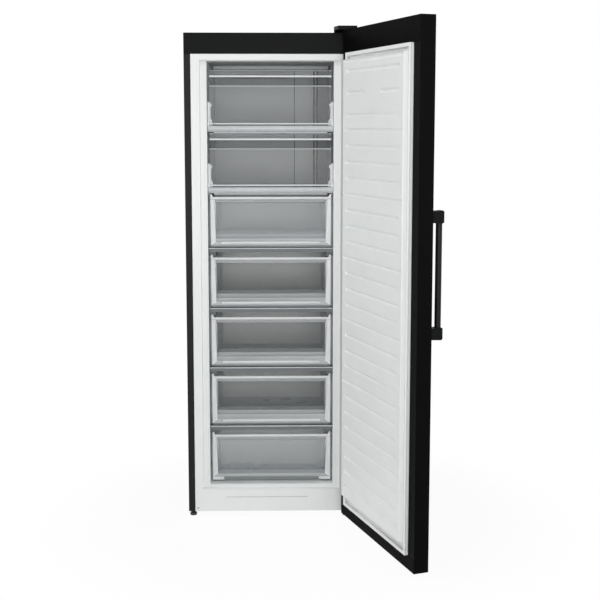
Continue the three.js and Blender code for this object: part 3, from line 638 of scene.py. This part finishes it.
# %% [markdown]
# ## Back wall
# The panel at the back hides the cooler and guides the air. It is one grey moulding with a raised
# band, and a thin black joint marks the band's left edge. Two black foam seals run down to its
# right, and the strip beyond them is coloured a darker grey: painted shade on that side of the wall.

# %% Back wall panel
BAND_JOINT = (88.4, 90.9)
SEAL_LINES = ((162.4, 168.8), (174.2, 180.6))
SHADE_STRIP_START = 181
PANEL_HEIGHTS = (302, 1613)
SHEET_FRONT = 476


def back_wall():
    body = softened_mesh("duct_cover", 0.8)
    for face in body.faces:
        middle = face.calc_center_median()
        # Faces right of the seals take the darker grey: painted shade on that strip.
        if middle.x * 1000 - CABINET_X > SHADE_STRIP_START and middle.y < mm(SHEET_FRONT + 1):
            face.material_index = 2
    for seal in SEAL_LINES:
        block(body, seal, (470.6, SHEET_FRONT), PANEL_HEIGHTS, 1.5, 1)
    block(body, BAND_JOINT, (473.6, SHEET_FRONT), PANEL_HEIGHTS, 0.5, 1)
    piece("duct_cover", "moulded", body, DUCT_GREY, RUBBER, PAINTED_SHADE_GREY)


back_wall()
print("seals at", SEAL_LINES)

# %% [markdown]
# ## Shelves and trims
# Each glass shelf has ground, slightly rounded edges. Its trim has a narrow round nose on top,
# which catches the light, over a web coloured dark slate as painted shade. The two trims below the
# flaps are taller, and carry a white upright and a pivot ear at each end. Below each trim hangs a
# slate strip, painted shade in the gap above the drawer: all along under the tall trims, at the ends
# under the others.

# %% Shelves
GREY, WHITE, SLATE_SHADE = 0, 1, 2
TRIM_HALF = 219.6
WEB_HALF = 199


def slim_trim(body, top):
    nose = [(44.7, 6.5), (39, 7), (37, 5.5), (37, 3.2), (41.5, 1.5), (42, -9)]
    outline = [(74.7, -9), (74.7, -6), (44.7, -6)] + nose
    for face in moulding(body, lifted(outline, top, 1.2), -TRIM_HALF, TRIM_HALF, look=GREY):
        # Faces below the nose take the slate: painted shade under it.
        if face.calc_center_median().z < mm(top + 2.4):
            face.material_index = SLATE_SHADE
    for side in (-1, 1):
        # Slate blocks at the ends paint the shade in the gap above the drawer.
        block(body, span(side, 196, TRIM_HALF), (55, 58), (top - 24, top - 8), 0.8, SLATE_SHADE)


def flap_trim(body, top):
    nose = [(44.7, -15), (44.7, 7), (39, 7), (35.5, 4), (34, -1), (34.4, -7), (37, -12), (41, -15)]
    moulding(body, lifted(nose, top, 3, 4), -TRIM_HALF, TRIM_HALF, look=GREY)
    lip = [(44.8, -14.8), (44.8, -19.3), (42.2, -19.3), (41.6, -17.5), (42.4, -14.8)]
    moulding(body, lifted(lip, top, 0.8, 2), -WEB_HALF, WEB_HALF, look=GREY)
    # A slate strip all along paints the shade in the gap above the drawer.
    block(body, (-WEB_HALF, WEB_HALF), (49.6, 51.6), (top - 24.4, top - 14), 0.6, SLATE_SHADE)
    upright = [(TRIM_HALF, 2), (TRIM_HALF, 91), (213, 88), (205, 80), (205, 76)]
    upright += [(209.5, 72), (209.5, 32), (203.5, 23), (203.5, 2)]
    for side in (-1, 1):
        shape = [(side * x, z) for x, z in upright]
        moulding(body, lifted(shape, top, 1.5, 2), 50, 66, along="y", look=WHITE)
        block(body, span(side, TRIM_HALF, 213.9), (37.2, 65), (top + 1.2, top + 21), 2, WHITE)
        block(body, span(side, TRIM_HALF, 203), (43, 65.5), (top + 1.2, top + 5), 1, WHITE)


for number, top in enumerate(SHELF_TOPS, 1):
    dress(f"glass_shelf_{number}", "ground", GLASS, 0.8)
    body = bmesh.new()
    (flap_trim if number < 3 else slim_trim)(body, top)
    piece(f"shelf_trim_{number}", "moulded", body, GREY_TRIM, FORMED_WHITE, TRIM_PAINTED_SHADE)
print("shelves", len(SHELF_TOPS))

# %% [markdown]
# ## Drawers
# One moulding with several looks. The frame round the front and the rim are thick and frosted, and
# the frame's low bar a little less so. The sloping front is thin and clear, and the tub is milky.
# The slope gives fingers room below the rim: the drawer is pulled by the rim itself. Its foot is a
# smooth scoop that runs out to the ledge, paler towards its foot as painted light, and the ledge
# ends in a bead; only the bottom drawer has a plain clear ledge. The top and bottom drawers have
# paler fronts as painted light, and a grey strip under the frame is painted shade in the gap
# above the trim.

# %% Drawers
CLEAR, FROSTED, MILKY, SOFT, SHADE_LIP = 0, 1, 2, 3, 4
OTHER_LOOKS = [FROSTED_EDGE, MILKY_TUB, SOFT_EDGE, PAINTED_SHADE_GREY]
FRONT_HALF = 213
TUB_HALF = 200
WALL = 2.5
TUB_INSIDE = TUB_HALF - WALL
SLOPE_FOOT = 111
SLOPE_RUN = 63
BEAD_HALF = 176


def front_slope(rim, ledge):
    """How far the front wall comes forward for each millimetre that it rises."""
    return SLOPE_RUN / (rim - 16 - ledge)


def plan(half, front, back, z, corner):
    """A level rectangle with rounded corners."""
    outline = [(-half, front), (half, front), (half, back), (-half, back)]
    return [at(x, y, z) for x, y in rounded(outline, corner, 5)]


def tub(body, base, rim, ledge, back):
    """The milky tub, with the clear sloping front as its front wall."""
    high = rim - 22
    foot = 8.5
    slope = front_slope(rim, ledge)

    def ring(z, wall, inset, corner):
        front = SLOPE_FOOT - max(z - ledge, -10) * slope + wall + inset
        lean = 4 * z / high
        return plan(TUB_HALF - wall - inset, front, back - 4 - wall + lean - inset, base + z, corner)

    outside = [(foot, 0, 4), (foot + 1, 0, 1.5), (foot + 5, 0, 0), (high, 0, 0)]
    inside = [(high, WALL, 0), (foot + 8, WALL, 0), (foot + 4, WALL, 1.5), (foot + WALL, WALL, 4)]
    rings = [ring(*place, 14) for place in outside] + [ring(*place, 12) for place in inside]
    for face in loft(body, rings, MILKY):
        middle = face.calc_center_median()
        if middle.z > mm(base + high - 1):
            face.material_index = FROSTED
        elif middle.y < mm(SLOPE_FOOT + 8) and abs(face.normal.y) > 0.8:
            face.material_index = CLEAR


def front_frame(body, low, rim, window_low):
    """A flat frame with mitred corners: outer and inner corners joined by one rounded section."""
    corners = [((side * FRONT_HALF, low), (side * 194, window_low)) for side in (-1, 1)]
    corners += [((side * FRONT_HALF, rim), (side * 199, rim - 9)) for side in (1, -1)]
    section = [(0, 48), (0, 46.4), (0.05, 45.3), (0.14, 45), (0.8, 45), (0.94, 45.4), (1, 46.6), (1, 48)]
    loops = []
    for outer, inner in corners:
        spots = [(Vector(outer).lerp(Vector(inner), share), y) for share, y in section]
        loops.append([body.verts.new(at(spot.x, y, spot.y)) for spot, y in spots])
    faces = bands(body, loops, closed=True)
    for face in faces:
        middle = face.calc_center_median()
        in_low_bar = middle.z < mm(window_low) and middle.y < mm(46)
        face.material_index = SOFT if in_low_bar else FROSTED
    bmesh.ops.recalc_face_normals(body, faces=faces)


def scoop(body, base, rim, ledge):
    """The curve from the sloping front down to the ledge: clear above, paler towards its foot as painted
    light.
    """
    high = 36
    start = Vector((110.4 - high * front_slope(rim, ledge), high))
    curve = bend(start, Vector((110, 0)), Vector((60, 0.6)), 9)
    outline = curve + [Vector((60, -0.8)), Vector((110.2, -0.8)), start + Vector((0.3, 0.2))]
    half = TUB_INSIDE - 0.5
    for face in moulding(body, [p + Vector((0, base + ledge)) for p in outline], -half, half, edge=0.3):
        height = face.calc_center_median().z * 1000 - base - ledge
        # Paler bands low on the curve paint the light that it gathers.
        face.material_index = CLEAR if height > 20 else SOFT if height > 7 else FROSTED


def drawer_side(body, side, base, rim, back, ledge):
    """The cheek beside the slope, the flange and its skirt, and the post on the frame's corner."""
    top = base + rim
    cheek = [(47.8, ledge - 1), (109, ledge - 1), (52.5, rim - 13), (47.8, rim - 9)]
    moulding(body, lifted(cheek, base, 0.6, 1), *span(side, TUB_INSIDE, TUB_HALF - 0.2), look=MILKY, edge=0.3)
    block(body, span(side, TUB_HALF - 1, 211.5), (51, back - 2), (top - 5.5, top - 3), 0.8, MILKY)
    block(body, span(side, TUB_HALF, TUB_INSIDE), (56, back - 2), (top - 24, top - 3), 0.6, MILKY)
    post = [(213, rim - 2), (213, rim + 8), (210.5, rim + 9.8), (207.5, rim + 8), (203, rim - 2)]
    shape = [(side * x, z) for x, z in post]
    moulding(body, lifted(shape, base, 1.6), 45.2, 51, along="y", look=FROSTED)


def drawer(name, base, rim, back, ledge, low, front, flat_foot=False):
    body = bmesh.new()
    tub(body, base, rim, ledge, back)
    front_frame(body, base + low, base + rim, base + ledge)
    back_of_bar = [(51, -11), (52, -21), (54.5, -21), (54, -1), (51, 0)]
    bar = back_of_bar + [(44, 0), (42, -2.5), (42, -7), (44, -9.5), (48, -10)]
    for face in moulding(body, lifted(bar, base + rim, 1.8, 4), -FRONT_HALF, FRONT_HALF, look=FROSTED):
        if face.calc_center_median().z < mm(base + rim - 10.5):
            face.material_index = SOFT
    sill = [(46, -4), (46, -1), (47.5, 0), (96, 0), (112, -3), (113, -5), (50, -4)]
    look = CLEAR if flat_foot else MILKY
    moulding(body, lifted(sill, base + ledge, 0.8, 2), -TUB_INSIDE, TUB_INSIDE, look=look)
    if not flat_foot:
        scoop(body, base, rim, ledge)
        bead = [(45.2, -7), (43.8, -6), (43.6, -1), (45, 0.9), (48, 0.9), (48, -7)]
        moulding(body, lifted(bead, base + ledge, 1.2), -BEAD_HALF, BEAD_HALF, look=FROSTED, edge=3)
    # A strip in the painted-shade grey across the dark gap between the frame and the trim below it.
    block(body, (-212, 212), (47.6, 49.4), (base + 8.2, base + low + 1.5), 0.6, SHADE_LIP)
    for side in (-1, 1):
        drawer_side(body, side, base, rim, back, ledge)
        if flat_foot:
            block(body, span(side, 172, FRONT_HALF), (45.2, 48), (base + 7, base + low + 1), 0.8, FROSTED)
    piece(name, "moulded", body, front, *OTHER_LOOKS)


for number, base in enumerate(SHELF_TOPS[2:], 1):
    # The top and bottom drawers get the paler copy as painted light; all five are one plastic.
    front = FRONT_PAINTED_LIGHT if number == 1 else DRAWER_FRONT
    drawer(f"drawer_{number}", base, rim=188, back=456, ledge=28, low=14, front=front)
drawer("drawer_5", LOWEST_FLOOR, rim=176, back=226, ledge=29, low=18, front=FRONT_PAINTED_LIGHT, flat_foot=True)
print("drawers", 5)

# %% [markdown]
# ## Drawer guides
# The liner has an upright bead on each side behind every drawer's frame, which keeps the drawer
# in line. Through the narrow gap beside a frame the bead is seen as a grey line.

# %% Drawer guides
guides = bmesh.new()
levels = [LOWEST_FLOOR] + SHELF_TOPS[:0:-1]
for low, high in zip(levels, levels[1:]):
    for side in (-1, 1):
        block(guides, span(side, 214.3, 220.4), (86, 94), (low + 2, high - 13), 1.5)
piece("inner_liner", "guides", guides, FORMED_WHITE, replaces=False)
print("guides on both sides of", len(levels) - 1, "drawers")

# %% [markdown]
# ## Flaps
# Each flap is one clear sheet that tilts about a rod at its foot. Near the top the sheet is folded
# back into a finger trough, with a narrow ridge above it. The ridge and the sheet's two long edges
# are thick enough to look frosted. The upward faces of the trough's lower lip are frosted as a
# painted highlight, and the trough is coloured darker than the sheet as painted shade.

# %% Flaps
TROUGH = 2
FLAP_LOOKS = [CRYSTAL, FROSTED_EDGE, GRIP_TROUGH_PAINTED_SHADE]


def flap(name, shelf_top, height):
    low = shelf_top + 10.5
    top = low + height
    body = bmesh.new()
    front = [(45, low), (45, top - 54), (54, top - 48), (54, top - 26.5)]
    ridge = [(42.5, top - 23.5), (42, top - 18.5), (45, top - 15), (45, top)]
    back = [(48, top), (48, top - 14), (47, top - 18), (57, top - 24)]
    foot = [(57, top - 50), (48, top - 56), (48, low)]
    outline = rounded(front + ridge + back + foot, 1.8, 4)
    for face in moulding(body, outline, -FRONT_HALF, FRONT_HALF, edge=0.05):
        middle = face.calc_center_median()
        from_top = top - middle.z * 1000
        on_edge = from_top < 1.5 or middle.z * 1000 < low + 2
        on_ridge = from_top < 25 and middle.y < mm(43.4)
        # The lower lip's upward faces are frosted as a painted highlight, where light falls on them.
        lip_highlight = 46 < from_top < 55 and face.normal.z > 0.3 and middle.y < mm(48)
        if on_edge or on_ridge or lip_highlight:
            face.material_index = FROSTED
        # The trough's back takes the darker plastic: painted shade in the recess.
        elif 25 < from_top < 50 and middle.y > mm(50):
            face.material_index = TROUGH
    rod = [Vector((43.5 + 3 * math.cos(t), shelf_top + 13 + 3 * math.sin(t))) for t in circle(16)]
    moulding(body, rod, -218, 218, look=FROSTED)
    piece(name, "moulded", body, *FLAP_LOOKS)


flap("flap_1", SHELF_TOPS[0], 187)
flap("flap_2", SHELF_TOPS[1], 184)
print("flaps", 2)

# %% [markdown]
# ## Door
# The skin is folded round both long sides, with a moulded cap at each end. The inner panel has
# grooves pressed into it, which stiffen it and keep it from drumming.

# %% Door pieces
DOOR = [
    ("door_skin", "folded", DOOR_PAINT_SHADED, 0.45),
    ("door_cap_top", "moulded", CAP_ABS_SHADED, 0.6),
    ("door_cap_bottom", "moulded", CAP_ABS_SHADED, 0.6),
    ("handle_bar", "painted", HANDLE_PAINT, 0.8),
    ("handle_bracket_upper", "moulded", BLACK_ABS, 1.2),
    ("handle_bracket_lower", "moulded", BLACK_ABS, 1.2),
]
for entry in DOOR:
    dress(*entry)
print("door pieces", len(DOOR))

# %% [markdown]
# The hot sheet sinks into each groove as a wide V: the upper side looks down and is a dark line,
# the lower side looks up and is a bright one. Each groove's flat bottom is found on the closed
# door, and a prism with sloping sides is cut out of the panel there.

# %% Door's inner panel
GROOVE_BOTTOM = 10
BOTTOM_TALLEST = 6
PANEL_FACE = 13
V_OUTLINE = [(PANEL_FACE + 2, -9.8), (8.4, -0.9), (8.4, 0.9), (PANEL_FACE + 2, 9.8)]


def groove_places(body):
    """Height and both ends of every groove, read from the flat bottoms on the closed door."""
    to_closed = DOOR_TURN.inverted()
    places = set()
    for face in body.faces:
        spots = [(to_closed @ v.co) * 1000 for v in face.verts]
        heights = [s.z for s in spots]
        is_bottom = all(abs(s.y - GROOVE_BOTTOM) < 0.1 for s in spots)
        if is_bottom and max(heights) - min(heights) < BOTTOM_TALLEST:
            ends = [s.x - CABINET_X for s in spots]
            place = (sum(heights) / len(heights), min(ends), max(ends))
            places.add(tuple(round(v, 1) for v in place))
    return sorted(places)


def door_liner():
    sheet = softened_mesh("door_liner", 0)
    cutter = bmesh.new()
    places = groove_places(sheet)
    for height, left, right in places:
        outline = [Vector((y, height + z)) for y, z in V_OUTLINE]
        moulding(cutter, outline, left - 0.6, right + 0.6, edge=0.5)
    bmesh.ops.transform(cutter, matrix=DOOR_TURN, verts=cutter.verts)
    panel, prisms = as_object("panel", sheet), as_object("prisms", cutter)
    cut = panel.modifiers.new("grooves", "BOOLEAN")
    cut.operation = "DIFFERENCE"
    cut.object = prisms
    result = panel.evaluated_get(bpy.context.evaluated_depsgraph_get())
    grooved = bpy.data.meshes.new_from_object(result)
    for helper in (panel, prisms):
        bpy.data.objects.remove(helper)
    piece("door_liner", "formed", rounded_edges(grooved, 0.9), FORMED_WHITE)
    return places


print("grooves", len(door_liner()))

# %% [markdown]
# ## Gasket
# The door's gasket is extruded vinyl, cut and welded at the four corners. It has a foot that
# snaps into the door, a bellows with two folds, and in front a flat box round the magnet. It is
# drawn on the closed door, as one section led round the four corners, and then turned with it.

# %% Gasket
SEAL_EDGE = (253.5, 62, 1641)
SEAL_SECTION = [
    (1, -11.7), (11.5, -11.7), (11.5, -10.2), (9.6, -9.3), (9.6, -7.7), (11.8, -6.7),
    (12.3, -5.6), (12.3, -1.3), (11.6, -0.7), (1.2, -0.7), (0.4, -1.3), (0.4, -4.8),
    (2.6, -5.7), (2.6, -7.3), (0.8, -8.4), (0.8, -10.8),
]


def gasket():
    body = bmesh.new()
    half, low, high = SEAL_EDGE
    section = rounded(SEAL_SECTION, 0.5, 2)
    loops = []
    for across, upward in ((-1, 1), (1, 1), (1, -1), (-1, -1)):
        level = low if upward > 0 else high
        corner = [at(across * (half - u), y, level + upward * u) for u, y in section]
        loops.append([body.verts.new(DOOR_TURN @ spot) for spot in corner])
    bands(body, loops, closed=True)
    bmesh.ops.recalc_face_normals(body, faces=body.faces)
    piece("door_gasket", "extruded", body, SEAL)


gasket()
print("gasket section has", len(SEAL_SECTION), "corners")

# %% [markdown]
# ## Lamp cover and ceiling rail
# The band at the ceiling is taken to be a frosted lamp cover, whose ribs would spread the light.
# A low rail crosses the ceiling in front of it, coloured dark slate: painted shade, for the dark line along
# the ceiling. Behind the cover there is no lamp.

# %% Lamp cover and rail
RIBS = 12
RIB_PITCH = 10.4

cover = softened_mesh("lamp_cover", 1.5)
for rib in range(RIBS):
    start = 312 + rib * RIB_PITCH
    block(cover, (-208, 208), (start, start + 4), (1604.1, 1606.5), 1, 0)
piece("lamp_cover", "ribbed", cover, FROSTED_EDGE)

# A block in the dark slate whose colour paints the shade line along the ceiling.
rail = bmesh.new()
block(rail, (-217, 217), (196, 204), (1611.5, 1617.9), 1.2)
piece("lamp_cover", "rail", rail, TRIM_PAINTED_SHADE, replaces=False)
print("lamp cover with", RIBS, "ribs, and a rail in front of it")

# %% [markdown]
# ## Feet and rollers
# A levelling foot is a nylon cup with flutes, so that fingers can turn it, on a zinc-plated
# threaded stem. The rear rollers are plain nylon wheels.

# %% Feet
FOOT_PLACE = (282, 14)
CUP = [(9, 0), (11, 0.2), (12.4, 1.6, 1), (12.4, 8, 1), (11.4, 9.4), (6, 10), (6, 16), (4, 16.1)]
THREAD = [(3.9 if turn % 2 else 3.4, 15 + turn * 0.9) for turn in range(28)]


def levelling_foot(side, name):
    body = bmesh.new()
    middle = (side * FOOT_PLACE[0], FOOT_PLACE[1], 0)
    turned(body, CUP, middle, 72, 0, flutes=12, depth=1.1)
    turned(body, THREAD, middle, 24, 1)
    piece(name, "moulded", body, DARK_NYLON, PIN_STEEL)


levelling_foot(-1, "front_foot_left")
levelling_foot(1, "front_foot_right")
for side in ("left", "right"):
    dress(f"rear_roller_{side}", "moulded", DARK_NYLON, 0.6)
print("feet and rollers", 4)

# %% [markdown]
# ## Plinth details
# The plinth has one pressed line to stiffen it, and a small screw holds it at the left. A lip
# at each end of its upper edge closes the joint below the liner's flange.

# %% Plinth details
plinth_parts = bmesh.new()
block(plinth_parts, (-165, 130), (-0.4, 0.4), (68, 70.4), 0.3, 2)
for side in (-1, 1):
    block(plinth_parts, span(side, 247.2, 285), (0.5, 2.4), (96, 99.9), 0.4, 0)
screw(plinth_parts, -264, 0.2, 28.6, 3.2, -1.2, 1)
piece("plinth_panel", "details", plinth_parts, FORMED_WHITE, PIN_STEEL, GREY_TRIM, replaces=False)
print("plinth line, lips and screw")

# %% [markdown]
# ## Back
# The back is one zinc-coated sheet that bends in over the machine bay. A shallow channel is
# pressed all round it, so that the big flat sheet doesn't drum, and black screws sit in it.
# In the machine bay, a strip on each side closes the corner beside the side panel.

# %% Back panel
BACK_Y = 586
CHANNEL_DEEP = 1.5
CREASE = (0.8, 0)
SCREW_X = 245
BAY_TOP = 245
STRIP_TOP = BAY_TOP - 0.1


def flat_face(body, side):
    """The largest face that looks to the back (1) or to the front (-1)."""
    return max((f for f in body.faces if f.normal.y * side > 0.99), key=lambda f: f.calc_area())


def pressed(body, face, steps):
    """Insets a face in steps of a width and a push outwards."""
    for wide, push in steps:
        bmesh.ops.inset_region(body, faces=[face], thickness=mm(wide), depth=mm(push), use_even_offset=True)


def back():
    body = softened_mesh("back_panel", 0.4)
    outer, inner = flat_face(body, 1), flat_face(body, -1)
    pressed(body, inner, [(14, 0), (4, CHANNEL_DEEP)])
    pressed(body, outer, [(20, 0), CREASE, (5, -CHANNEL_DEEP), CREASE])
    pressed(body, outer, [(26, 0), CREASE, (5, CHANNEL_DEEP), CREASE])
    bottom = BACK_Y - CHANNEL_DEEP
    places = [(x, z) for x in (-SCREW_X, 0, SCREW_X) for z in (286, 1672)]
    places += [(x, z) for z in (640, 980, 1320) for x in (-SCREW_X, SCREW_X)]
    for x, z in places:
        screw(body, x, bottom - 0.1, z, 5, 1, 1)
    for side in (-1, 1):
        across = span(side, HALF_WIDTH - 13, HALF_WIDTH - 1.2)
        block(body, across, (290.1, 291), (20, STRIP_TOP), 0.3)
        block(body, across, (290.1, 584.5), (BAY_TOP - 1, STRIP_TOP), 0.3)
    piece("back_panel", "pressed", body, ZINC, BLACK_ZINC)


back()
print("channel", CHANNEL_DEEP, "mm deep")

# %% [markdown]
# ## Compressor
# The pot is two deep-drawn steel cups welded together, and the weld stands out as a collar. It
# stands on four black grommets. A black box on its side covers the terminals, and three copper
# stubs leave it: suction, discharge and the pinched filling stub.

# %% Compressor
LOWER_CUP = [(60, 4), (74, 6), (85, 18), (89, 40), (89.5, 66), (92, 68), (92.5, 71)]
UPPER_CUP = [(92, 74), (89.3, 76), (87, 92), (78, 118), (62, 136), (44, 146), (20, 151.2), (4, 152)]
GROMMET = [(7, 26), (9, 26.5), (9, 30), (6, 31), (6, 34), (8.5, 35), (8.5, 38), (5, 39)]
POT_PLACE = (70, 430, 29)
STUB_BEND = [(501, 10), (506, 10.5), (509, 13), (510, 17), (510, 36)]
STUBS = [(40, 96, 4), (98, 104, 3), (70, 112, 3.2)]


def compressor():
    body = bmesh.new()
    turned(body, LOWER_CUP + UPPER_CUP, POT_PLACE, 64, 0)
    block(body, (-35, 175), (357, 503), (25, 28), 2, 0)
    for rim in ((355.2, 358), (502, 504.8)):
        block(body, (-34, 174), rim, (25, 33), 1, 0)
    for x in (-22, 162):
        for y in (370, 490):
            turned(body, GROMMET, (x, y, 0), 24, 2)
    block(body, (-30, -8), (400, 458), (62, 118), 4, 2)
    for x, z, radius in STUBS:
        pipe(body, [(x, y, z + up) for y, up in STUB_BEND], radius, 1)
    piece("compressor", "welded", body, ENAMEL, COPPER, DARK_NYLON)


compressor()
print("compressor with", len(STUBS), "stubs")

# %% [markdown]
# ## Mains inlet
# The inlet is a black moulding with a deep recess and three flat pins. No cord is plugged in.

# %% Mains inlet
PINS = [(-210, 42), (-195, 42), (-202.5, 52)]


def mains_inlet():
    body = bmesh.new()
    left, right, low, high = -225, -180, 18.8, 79
    between = (left + 4, right - 4)
    walls = [
        ((left, left + 8), (low, high)),
        ((right - 8, right), (low, high)),
        (between, (low, low + 14)),
        (between, (high - 18, high)),
    ]
    block(body, (left, right), (552, 566), (low, high), 1.5, 0)
    for xs, zs in walls:
        block(body, xs, (564, 580), zs, 1.2, 0)
    for x, z in PINS:
        block(body, (x - 1.1, x + 1.1), (564, 577), (z - 2.4, z + 2.4), 0.4, 1)
    piece("mains_inlet", "moulded", body, BLACK_ABS, PIN_STEEL)


mains_inlet()
print("inlet with", len(PINS), "pins")

# %% [markdown]
# ## Pieces inside the walls
# These are seen only when something is taken off, so they keep the frame's own shapes.

# %% Inner finishes
INNER = {
    "cabinet_foam": FOAM,
    "door_foam": FOAM,
    "evaporator": ALUMINIUM,
    "defrost_heater": PIN_STEEL,
    "condenser_tube": COPPER,
    "fan_motor": DARK_NYLON,
    "fan_impeller": GREY_TRIM,
    "control_board": BOARD,
}
for node, material in INNER.items():
    slots = frame["nodes"][node].data.materials
    slots.clear()
    slots.append(material)
print("inner finishes", len(INNER))

# %% [markdown]
# ## Floor and backdrop
# The freezer stands in a plain white studio. The camera sees the floor as plain white, so that it
# runs into the backdrop without an edge. Only close to the feet a small share of the floor's own
# shading is mixed in, which keeps the soft shadow where the freezer meets the ground.

# %% Floor
FLOOR_REACH = 12
FLOOR_LEVEL = -0.0005
SHADOW_FULL = 0.5
SHADOW_REACH = 1.1
SHADOW_SHARE = 0.05


def seen_plainly(tree):
    """One for rays from the camera, also after a mirror or glass, and nought for other light."""
    rays = add(tree, "LightPath").outputs
    glossy = maths(tree, "MAXIMUM", rays["Is Camera Ray"], rays["Is Glossy Ray"])
    return maths(tree, "MAXIMUM", glossy, rays["Is Transmission Ray"])


def studio_floor():
    material, tree, place = new_material("white_studio_floor")
    from_middle = add(tree, "VectorMath", {0: place}, operation="LENGTH")
    white_share = add(tree, "MapRange", {
        "Value": from_middle.outputs["Value"],
        "From Min": SHADOW_FULL,
        "From Max": SHADOW_REACH,
        "To Min": 1 - SHADOW_SHARE,
        "To Max": 1.0,
    }, interpolation_type="SMOOTHSTEP")
    share = maths(tree, "MULTIPLY", seen_plainly(tree), white_share.outputs["Result"])
    white = add(tree, "Emission", {"Color": linear("ffffff"), "Strength": 1.0})
    matt = add(tree, "BsdfDiffuse", {"Color": linear("f0f0f0")})
    finish_with(tree, add(tree, "MixShader", {"Fac": share, 1: matt.outputs[0], 2: white.outputs[0]}))
    return material


floor_mesh = bpy.data.meshes.new("studio_floor")
corners = [(x * FLOOR_REACH, y * FLOOR_REACH, 0) for x, y in ((-1, -1), (1, -1), (1, 1), (-1, 1))]
floor_mesh.from_pydata(corners, [], [(0, 1, 2, 3)])
floor_mesh.materials.append(studio_floor())
floor = in_scene("studio_floor", floor_mesh)
floor.location.z = FLOOR_LEVEL
print("floor", 2 * FLOOR_REACH, "m wide")

# %% [markdown]
# ## Light
# The photographer's room is white all round and brightest in front of the freezer, behind the
# camera, so that light reaches deep between the shelves. The world does the same: a low level on
# all sides and a broad bright lobe in front. The camera, mirrors and glass see plain white
# instead. Four soft boxes add shape: the front one stands low and far, so that it reaches the back
# of the drawers; the right one lights the left side of the mouth, the side one the inner side of
# the door, and the upper one every ledge, rim and sill.

# %% World and lamps
ROOM_LEVEL = 0.13
FRONT_LEVEL = 0.21
FRONT_SPREAD = 4
TO_THE_FRONT = Vector((0.05, -1.0, 0.12)).normalized()

world = bpy.data.worlds.new("white_room")
bpy.context.scene.world = world
world.use_nodes = True
room = world.node_tree
room.nodes.clear()
ray = add(room, "TexCoord").outputs["Generated"]
facing = add(room, "VectorMath", {0: ray, 1: TO_THE_FRONT}, operation="DOT_PRODUCT")
lobe = maths(room, "POWER", maths(room, "MAXIMUM", facing.outputs["Value"], 0.0), FRONT_SPREAD)
lit = maths(room, "MULTIPLY_ADD", lobe, FRONT_LEVEL, ROOM_LEVEL)
level = add(room, "Mix", {"Factor": seen_plainly(room), "A": lit, "B": 1.0})
sky = add(room, "Background", {"Color": linear("ffffff"), "Strength": level.outputs["Result"]})
room.links.new(sky.outputs[0], add(room, "OutputWorld").inputs["Surface"])


def softbox(name, place, target, size, power):
    lamp = bpy.data.lights.new(name, "AREA")
    lamp.shape = "RECTANGLE"
    lamp.size, lamp.size_y = size
    lamp.energy = power
    holder = in_scene(name, lamp)
    holder.location = place
    holder.rotation_euler = (Vector(target) - Vector(place)).to_track_quat("-Z", "Y").to_euler()


softbox("front_softbox", (0.1, -4.6, 1.05), (0, 0, 0.9), (2.4, 1.4), 54)
softbox("right_softbox", (3.0, -3.2, 1.7), (-0.3, 0, 0.8), (2.0, 2.0), 28)
softbox("side_softbox", (-4.2, -0.7, 2.8), (0.3, -0.3, 0.9), (2.0, 2.0), 88)
softbox("top_softbox", (-0.2, -2.8, 3.9), (0, 0, 0.9), (2.4, 1.6), 40)
print("room level", ROOM_LEVEL, "front level", FRONT_LEVEL)
